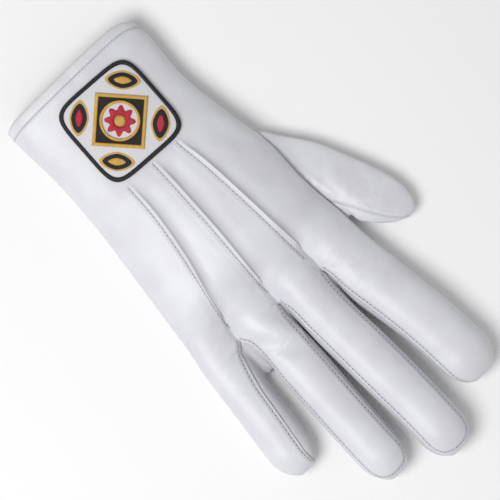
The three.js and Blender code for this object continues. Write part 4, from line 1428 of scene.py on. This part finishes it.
def turned_about(x, y, centre, turn):
    return (centre[0] + x * math.cos(turn) - y * math.sin(turn),
            centre[1] + x * math.sin(turn) + y * math.cos(turn))


def badge_place(x, y, centre, turn):
    """From a motif's own plane to the badge, and from there to the glove."""
    x, y = turned_about(x, y, centre, turn)
    return turned_about(x, y, (BADGE_ASIDE, BADGE_FROM_CUFF), BADGE_TURN)


def embroidered(name, inside, outside, low, high, finish, spokes=128, rings=8, crown=0.6,
                centre=(0, 0), turn=0.0, across=None):
    """A closed raised band or disc of satin stitches between two outlines."""
    angle = np.arange(spokes) * 2 * np.pi / spokes
    start = inside(angle) if inside else np.zeros(spokes)
    end = outside(angle)
    share = np.linspace(0, 1, rings + 1)[:, None]
    reach = mix(start, end, share)
    rounded = np.sqrt(np.maximum(0, 1 - np.abs(2 * share - 1 if inside else share) ** 3))
    lift = low + (high - low) * mix(1 - crown, 1, rounded) * np.ones((1, spokes))
    top = stack(reach * np.cos(angle), reach * np.sin(angle), lift)
    bottom = top[::-1].copy()
    bottom[..., 2] = low
    rows = np.concatenate([top, bottom])
    if inside:
        rows = np.concatenate([rows, top[:1]])
    x, y = badge_place(rows[..., 0], rows[..., 1], centre, turn)
    count = len(rows)
    points = on_back(x, y, rows[..., 2])
    grid = np.arange(count * spokes).reshape(count, spokes)
    following = np.roll(grid, -1, axis=1)
    quads = np.stack([grid[:-1], grid[1:], following[1:], following[:-1]], axis=-1).reshape(-1, 4)
    flat = points.reshape(-1, 3)
    keys = np.round(flat / BADGE_WELD).astype(np.int64)
    _, first, number = np.unique(keys, axis=0, return_index=True, return_inverse=True)
    quads = without_slivers(number.reshape(-1)[quads])
    made = new_object(name, placed(flat[first]), polygons(quads))
    if across:
        count_of = across(rows[..., 0], rows[..., 1])
    else:
        count_of = np.broadcast_to(angle * float(np.mean(end)), rows.shape[:2]) / SATIN_THREAD
    store(made.data, "thread", np.asarray(count_of).reshape(-1)[first])
    made.data.materials.append(finish)
    return made, rows, first


# Sizes and colours that a user would change

class GloveSizes(bpy.types.PropertyGroup):
    wall: FloatProperty(
        name="Leather", description="Thickness of the leather", default=0.0012, min=0.0006, unit="LENGTH")
    tuck_height: FloatProperty(
        name="Tuck height", description="How far the tucks on the back stand up", default=0.0016,
        min=0.0, unit="LENGTH")
    relief: FloatProperty(
        name="Creases", description="Strength of the creases and puckers", default=1.0, min=0.0,
        subtype="FACTOR")
    stitch_pitch: FloatProperty(
        name="Stitch pitch", description="From one stitch to the next", default=0.0021, min=0.001,
        unit="LENGTH")
    stitch_length: FloatProperty(
        name="Stitch length", description="Length of one stitch", default=0.00150, min=0.0005, unit="LENGTH")
    stitch_width: FloatProperty(
        name="Thread", description="Width of the sewing thread", default=0.00050, min=0.0001, unit="LENGTH")


class GloveColors(bpy.types.PropertyGroup):
    leather: FloatVectorProperty(
        name="Leather", description="Colour of the leather", default=(0.735, 0.74, 0.775), subtype="COLOR")
    leather_cool: FloatVectorProperty(
        name="Leather, cool", description="Colour of its cooler patches", default=(0.69, 0.69, 0.735),
        subtype="COLOR")
    # Painted shade: how far the fourchettes' colour is darkened to stand for the shade between the fingers.
    fourchette_painted_shade: FloatProperty(
        name="Fourchettes", description="How bright the strips between the fingers are", default=0.84,
        min=0.0, max=1.0, subtype="FACTOR")
    # Painted shade for the stitched grooves, not a colour of the leather.
    painted_groove_shade: FloatVectorProperty(
        name="Leather in seams", description="Colour down in the stitched grooves",
        default=(0.42, 0.42, 0.47), subtype="COLOR")
    # Painted shade for the needle holes: the dark that falls inside them.
    hole: FloatVectorProperty(
        name="Needle holes", description="Colour in the needle holes", default=(0.14, 0.14, 0.16),
        subtype="COLOR")
    leather_flesh: FloatVectorProperty(
        name="Flesh side", description="Colour of the inside", default=(0.78, 0.76, 0.74), subtype="COLOR")
    thread: FloatVectorProperty(
        name="Thread", description="Colour of the sewing thread", default=(0.60, 0.60, 0.64),
        subtype="COLOR")
    ground: FloatVectorProperty(
        name="Badge ground", description="Colour of the badge's ground", default=(0.80, 0.80, 0.82),
        subtype="COLOR")
    # Painted shade between the badge ground's stitches, not a colour of the thread.
    ground_painted_shade: FloatVectorProperty(
        name="Badge ground, shade", description="Colour between its stitches", default=(0.60, 0.60, 0.64),
        subtype="COLOR")
    black: FloatVectorProperty(
        name="Black thread", description="Colour of the black thread", default=(0.010, 0.010, 0.012),
        subtype="COLOR")
    gold: FloatVectorProperty(
        name="Gold thread", description="Colour of the gold thread", default=(0.78, 0.46, 0.08),
        subtype="COLOR")
    red: FloatVectorProperty(
        name="Red thread", description="Colour of the red thread", default=(0.62, 0.02, 0.05),
        subtype="COLOR")


class GloveStage(bpy.types.PropertyGroup):
    floor: FloatVectorProperty(
        name="Floor", description="Colour of the floor", default=(0.96, 0.96, 0.96), subtype="COLOR")
    key: FloatProperty(
        name="Key light", description="Power of the main light", default=7.6, min=0.0, unit="POWER")
    fill: FloatProperty(
        name="Fill", description="Strength of the light from all round", default=0.445, min=0.0)


# Operators

def trank_surface():
    """The outer side of the finished trank, in the glove's own layout."""
    mesh = bpy.data.objects["trank_leather"].data
    vertices = [vertex.co - Vector(SHIFT) for vertex in mesh.vertices]
    return BVHTree.FromPolygons(vertices, [list(face.vertices) for face in mesh.polygons])


def glove_sheet():
    """The points, lifts, normals and faces of the whole hand, before its relief."""
    patches, _ = trank_patches()
    gaps = [gap_patches(number) for number in range(LAST)]
    points, lifts, faces = welded([patches, *gaps])
    around = normals_of(points, without_slivers(np.concatenate(faces)))
    alone = normals_of(points, without_slivers(faces[0]))
    normals = mix(alone, around, smooth(points[:, 2:], 0.006, 0.010))
    return points, lifts, normals / np.linalg.norm(normals, axis=1, keepdims=True), faces


class GLOVE_OT_trank(bpy.types.Operator):
    """Make the trank: back, palm and the backs and palms of the fingers"""
    bl_idname = "glove.trank"
    bl_label = "Trank"

    def execute(self, context):
        sizes = context.scene.glove_sizes
        points, lifts, normals, faces = glove_sheet()
        relief = leather_relief(points, normals, sizes.relief)
        lean = stack(-0.2 * np.maximum(lifts, 0), 0 * lifts, 0 * lifts)
        outer = above_floor(points + normals * (relief + lifts)[:, None] + lean)
        hem = 1 + (1 - smooth(points[:, 1], HEM_WIDTH, HEM_WIDTH + HEM_STEP))
        inner = points + normals * (relief - sizes.wall * hem)[:, None]
        trank = without_slivers(faces[0])
        surface = BVHTree.FromPolygons([Vector(p) for p in outer], polygons(trank))
        near = nearest_on_lines(outer, seam_lines(surface), sizes.stitch_pitch)
        values = seam_values(*near) | ray_values(points)
        made = leather_object("trank_leather", outer, inner, trank, values, leather())
        finish_piece(made, "leather", "trank")
        return {"FINISHED"}


class GLOVE_OT_fourchettes(bpy.types.Operator):
    """Make the strips between the fingers, whose edges lie under the trank's"""
    bl_idname = "glove.fourchettes"
    bl_label = "Fourchettes"

    def execute(self, context):
        wall = context.scene.glove_sizes.wall
        names = ["fourchette_index_middle", "fourchette_middle_ring", "fourchette_ring_little"]
        for number, name in enumerate(names):
            points, _, faces = welded([gap_patches(number)])
            strip = without_slivers(faces[0])
            normals = normals_of(points, strip)
            edge = np.unique(rim_of(strip))
            tree = tree_of(points[edge])
            distance = np.array([tree.find(Vector(point))[2] for point in points])
            sink = FLUSH + (wall - FLUSH) * (1 - smooth(distance, 0.0002, 0.0022))
            outer = above_floor(points - normals * sink[:, None])
            inner = outer - normals * SKIVED
            values = seam_values(distance + 0.0006, 0 * distance, 0 * distance, 1) | ray_values(points)
            values["gathered"] = (0 * distance, 0.0)
            # The fourchettes get the leather darkened as painted shade.
            made = leather_object(name + "_leather", outer, inner, strip, values, thin_leather())
            finish_piece(made, "leather", name)
        return {"FINISHED"}


class GLOVE_OT_thumb(bpy.types.Operator):
    """Make the thumb, set into its hole in the side of the trank"""
    bl_idname = "glove.thumb"
    bl_label = "Thumb"

    def execute(self, context):
        sizes = context.scene.glove_sizes
        _, hand_left = trank_patches()
        ring, turns = hole_ring(hand_left)
        points, _, faces = welded([[Patch(self.with_flange(ring, thumb_grid(ring, turns)), False)]])
        faces = without_slivers(faces[0])
        normals = normals_of(points, faces)
        tree = tree_of(ring)
        found = [tree.find(Vector(point)) for point in points]
        about_rim = np.array([i for _, i, _ in found])
        from_rim = np.array([far for _, _, far in found])
        surface = BVHTree.FromPolygons([Vector(p) for p in points], polygons(faces))
        seam = dropped(self.seam_places(), surface)
        distance, _, _, beside = nearest_on_lines(points, [seam], sizes.stitch_pitch)
        height = leather_relief(points, normals, sizes.relief) - 0.00025 * hump(distance, 0.0009)
        roll = THUMB_ROLL_HEIGHT * hump(from_rim - THUMB_ROLL_AT, THUMB_ROLL_WIDTH)
        height += roll - 0.0002 * hump(from_rim, 0.0016)
        puckers = hump(from_rim - THUMB_PUCKERS_AT, THUMB_PUCKERS_WIDTH) * np.sin(about_rim * 0.9)
        height += THUMB_PUCKERS_HEIGHT * puckers
        sunk = height - THUMB_SUNK * (1 + hump(from_rim, 0.0010))
        outer = above_floor(points + normals * sunk[:, None])
        inner = points + normals * (height - sizes.wall)[:, None]
        values = seam_values(distance, 0 * distance, 2.2 + 0 * distance, beside) | ray_values(points)
        made = leather_object("thumb_leather", outer, inner, faces, values, leather())
        finish_piece(made, "leather", "thumb")
        return {"FINISHED"}

    def with_flange(self, ring, grid):
        """The thumb's rows, closed round it, with the edge that is turned in under the trank's."""
        away = ring - ring.mean(axis=0)
        away = away / np.linalg.norm(away, axis=1, keepdims=True)
        turned_in = ring + THUMB_TURNED_IN * away + np.array(THUMB_TURNED_DOWN)
        grid = np.concatenate([turned_in[None], mix(turned_in, ring, 0.5)[None], grid])
        return np.concatenate([grid, grid[:, :1]], axis=1)

    def seam_places(self):
        marks = np.array(THUMB_SEAM)
        shares = np.linspace(0, 1, 40)
        return [mix(a, b, t) for a, b in zip(marks, marks[1:]) for t in shares]


class GLOVE_OT_stitches(bpy.types.Operator):
    """Lay the sewing thread along the seams, the tucks and the hem"""
    bl_idname = "glove.stitches"
    bl_label = "Stitches"

    def execute(self, context):
        sizes = context.scene.glove_sizes
        lines = []
        for seam in seam_lines(trank_surface()):
            lines.append(([point + Vector(SHIFT) for point in seam.points], seam.normals))
        finish = material("sewing_thread", thread_finish, context.scene.glove_colors.thread, 0.55)
        made = stitched("stitches", lines, finish, pitch=sizes.stitch_pitch, length=sizes.stitch_length,
                        width=sizes.stitch_width, height=sizes.stitch_width * 1.1, slant=0.06, seed=7)
        finish_piece(made, "leather")
        return {"FINISHED"}


class GLOVE_OT_badge(bpy.types.Operator):
    """Make the embroidered badge on the cuff"""
    bl_idname = "glove.badge"
    bl_label = "Badge"

    def execute(self, context):
        colors = context.scene.glove_colors
        gold = material("gold_satin", satin_finish, colors.gold, 0.35), "thread_gold"
        red = material("red_satin", satin_finish, colors.red, 0.4), "thread_red"
        self.ground()
        self.border(colors)
        frame_inside = lozenge(LOZENGE_REACH - LOZENGE_WIDTH * math.sqrt(2))
        self.motif("badge_lozenge", frame_inside, lozenge(LOZENGE_REACH), gold, spokes=192)
        self.motif("badge_ring", circle(RING_RADIUS - RING_BAND), circle(RING_RADIUS), gold)
        self.motif("badge_rosette", circle(BOSS_RADIUS + 0.0002), petals(ROSETTE_RADIUS), red, spokes=192)
        self.motif("badge_boss", None, circle(BOSS_RADIUS), gold, THREAD_TOP + 0.0003, spokes=48,
                   across=lambda x, y: x / 0.0004)
        for corner in range(4):
            turn = math.pi * (corner / 2 + 1 / 4)
            centre = (LEAF_REACH * math.cos(turn), LEAF_REACH * math.sin(turn))
            self.motif("badge_leaf_" + str(corner + 1), None, leaf, red if corner % 2 else gold, spokes=64,
                       centre=centre, turn=turn + math.pi / 2,
                       across=lambda x, y: (x + 0.9 * np.abs(y)) / SATIN_THREAD)
        return {"FINISHED"}

    def motif(self, name, inside, outside, thread, top=THREAD_TOP, **shape):
        finish, slot = thread
        made, _, _ = embroidered(name + "_thread", inside, outside, GROUND_TOP - FLUSH, top, finish, **shape)
        finish_piece(made, slot, name)

    def ground(self):
        made, rows, first = embroidered(
            "badge_ground_satin", None, rounded_square(BADGE_RIM_WIDTH * 0.7), FLUSH, GROUND_TOP,
            material("satin_ground", ground_finish), spokes=160, rings=30, crown=0.15,
            across=lambda x, y: (x + y) / GROUND_THREAD)
        store(made.data, "across", rows[..., 0].reshape(-1)[first])
        store(made.data, "along", rows[..., 1].reshape(-1)[first])
        finish_piece(made, "badge_ground", "badge_ground")

    def border(self, colors):
        """The overlocked edge: a core with thread wound round it."""
        finish = material("black_cord", thread_finish, colors.black, 0.45)
        core, _, _ = embroidered("badge_border_core", rounded_square(BADGE_RIM_WIDTH * 0.95),
                                 rounded_square(BADGE_RIM_WIDTH * 0.05), FLUSH, BORDER_TOP, finish,
                                 spokes=256, rings=10, crown=0.95)
        finish_piece(core, "thread_black", "badge_border")
        angle = np.linspace(0, 2 * np.pi, 720, endpoint=False)
        reach = rounded_square(BADGE_RIM_WIDTH / 2)(angle)
        x, y = badge_place(reach * np.cos(angle), reach * np.sin(angle), (0, 0), 0.0)
        points = [Vector(point) for point in placed(on_back(x, y, BORDER_TOP / 2 + FLUSH))]
        normals = [Vector((0, 0, 1))] * len(points)
        wraps = stitched("badge_border_thread", [(points, normals)], finish, pitch=0.00040, length=0.00046,
                         width=BADGE_RIM_WIDTH * 1.12, height=BORDER_TOP, slant=0.32, seed=3, closed=True)
        finish_piece(wraps, "thread_black", "badge_border")


class GLOVE_OT_stage(bpy.types.Operator):
    """Set the floor, the lights and the camera"""
    bl_idname = "glove.stage"
    bl_label = "Stage"

    def execute(self, context):
        stage = context.scene.glove_stage
        corners = [(-FLOOR_HALF, -FLOOR_HALF, 0), (FLOOR_HALF, -FLOOR_HALF, 0),
                   (FLOOR_HALF, FLOOR_HALF, 0), (-FLOOR_HALF, FLOOR_HALF, 0)]
        floor = new_object("floor", corners, [(0, 1, 2, 3)])
        floor.location.z = -FLOOR_BELOW
        floor.data.materials.append(material("pale_floor", floor_finish, stage.floor))
        world = bpy.data.worlds.new("studio")
        world.use_nodes = True
        sky = world.node_tree.nodes["Background"].inputs
        sky["Color"].default_value = (1, 1, 1, 1)
        sky["Strength"].default_value = stage.fill
        context.scene.world = world
        self.light("key", KEY_PLACE, KEY_SIZE, stage.key)
        self.camera(context)
        context.scene.view_settings.view_transform = "Standard"
        return {"FINISHED"}

    def light(self, name, place, size, power):
        data = bpy.data.lights.new(name, "AREA")
        data.shape = "DISK"
        data.size = size
        data.energy = power
        made = bpy.data.objects.new(name, data)
        made.location = place
        made.rotation_euler = (-Vector(place)).to_track_quat("-Z", "Y").to_euler()
        bpy.context.scene.collection.objects.link(made)

    def camera(self, context):
        """Straight above the glove, turned as the photograph is, with a long lens."""
        data = bpy.data.cameras.new("camera")
        made = bpy.data.objects.new("camera", data)
        right, up = Vector(VIEW_RIGHT).normalized(), Vector(VIEW_UP).normalized()
        back = right.cross(up)
        turn = Matrix((right, up, back)).transposed().to_4x4()
        made.matrix_world = Matrix.Translation(Vector(VIEW_TARGET) + back * CAMERA_HEIGHT) @ turn
        data.lens = data.sensor_width * CAMERA_HEIGHT / VIEW_WIDTH
        data.clip_end = 20
        context.scene.collection.objects.link(made)
        context.scene.camera = made


STEPS = ["trank", "fourchettes", "thumb", "stitches", "badge", "stage"]


class GLOVE_PT_panel(bpy.types.Panel):
    """Sizes, colours and the steps that make the glove"""
    bl_idname = "GLOVE_PT_panel"
    bl_label = "White Dress Glove"
    bl_space_type = "VIEW_3D"
    bl_region_type = "UI"
    bl_category = "Glove"

    def draw(self, context):
        for group in (context.scene.glove_sizes, context.scene.glove_colors, context.scene.glove_stage):
            box = self.layout.box()
            for key in group.__annotations__:
                box.prop(group, key)
        for step in STEPS:
            self.layout.operator("glove." + step)


CLASSES = [
    GloveSizes, GloveColors, GloveStage, GLOVE_OT_trank, GLOVE_OT_fourchettes, GLOVE_OT_thumb,
    GLOVE_OT_stitches, GLOVE_OT_badge, GLOVE_OT_stage, GLOVE_PT_panel,
]


def register():
    for made in CLASSES:
        bpy.utils.register_class(made)
    bpy.types.Scene.glove_sizes = PointerProperty(type=GloveSizes)
    bpy.types.Scene.glove_colors = PointerProperty(type=GloveColors)
    bpy.types.Scene.glove_stage = PointerProperty(type=GloveStage)


def unregister():
    del bpy.types.Scene.glove_stage
    del bpy.types.Scene.glove_colors
    del bpy.types.Scene.glove_sizes
    for made in reversed(CLASSES):
        bpy.utils.unregister_class(made)


def main():
    register()
    for step in STEPS:
        getattr(bpy.ops.glove, step)()


if __name__ == "__main__":
    main()
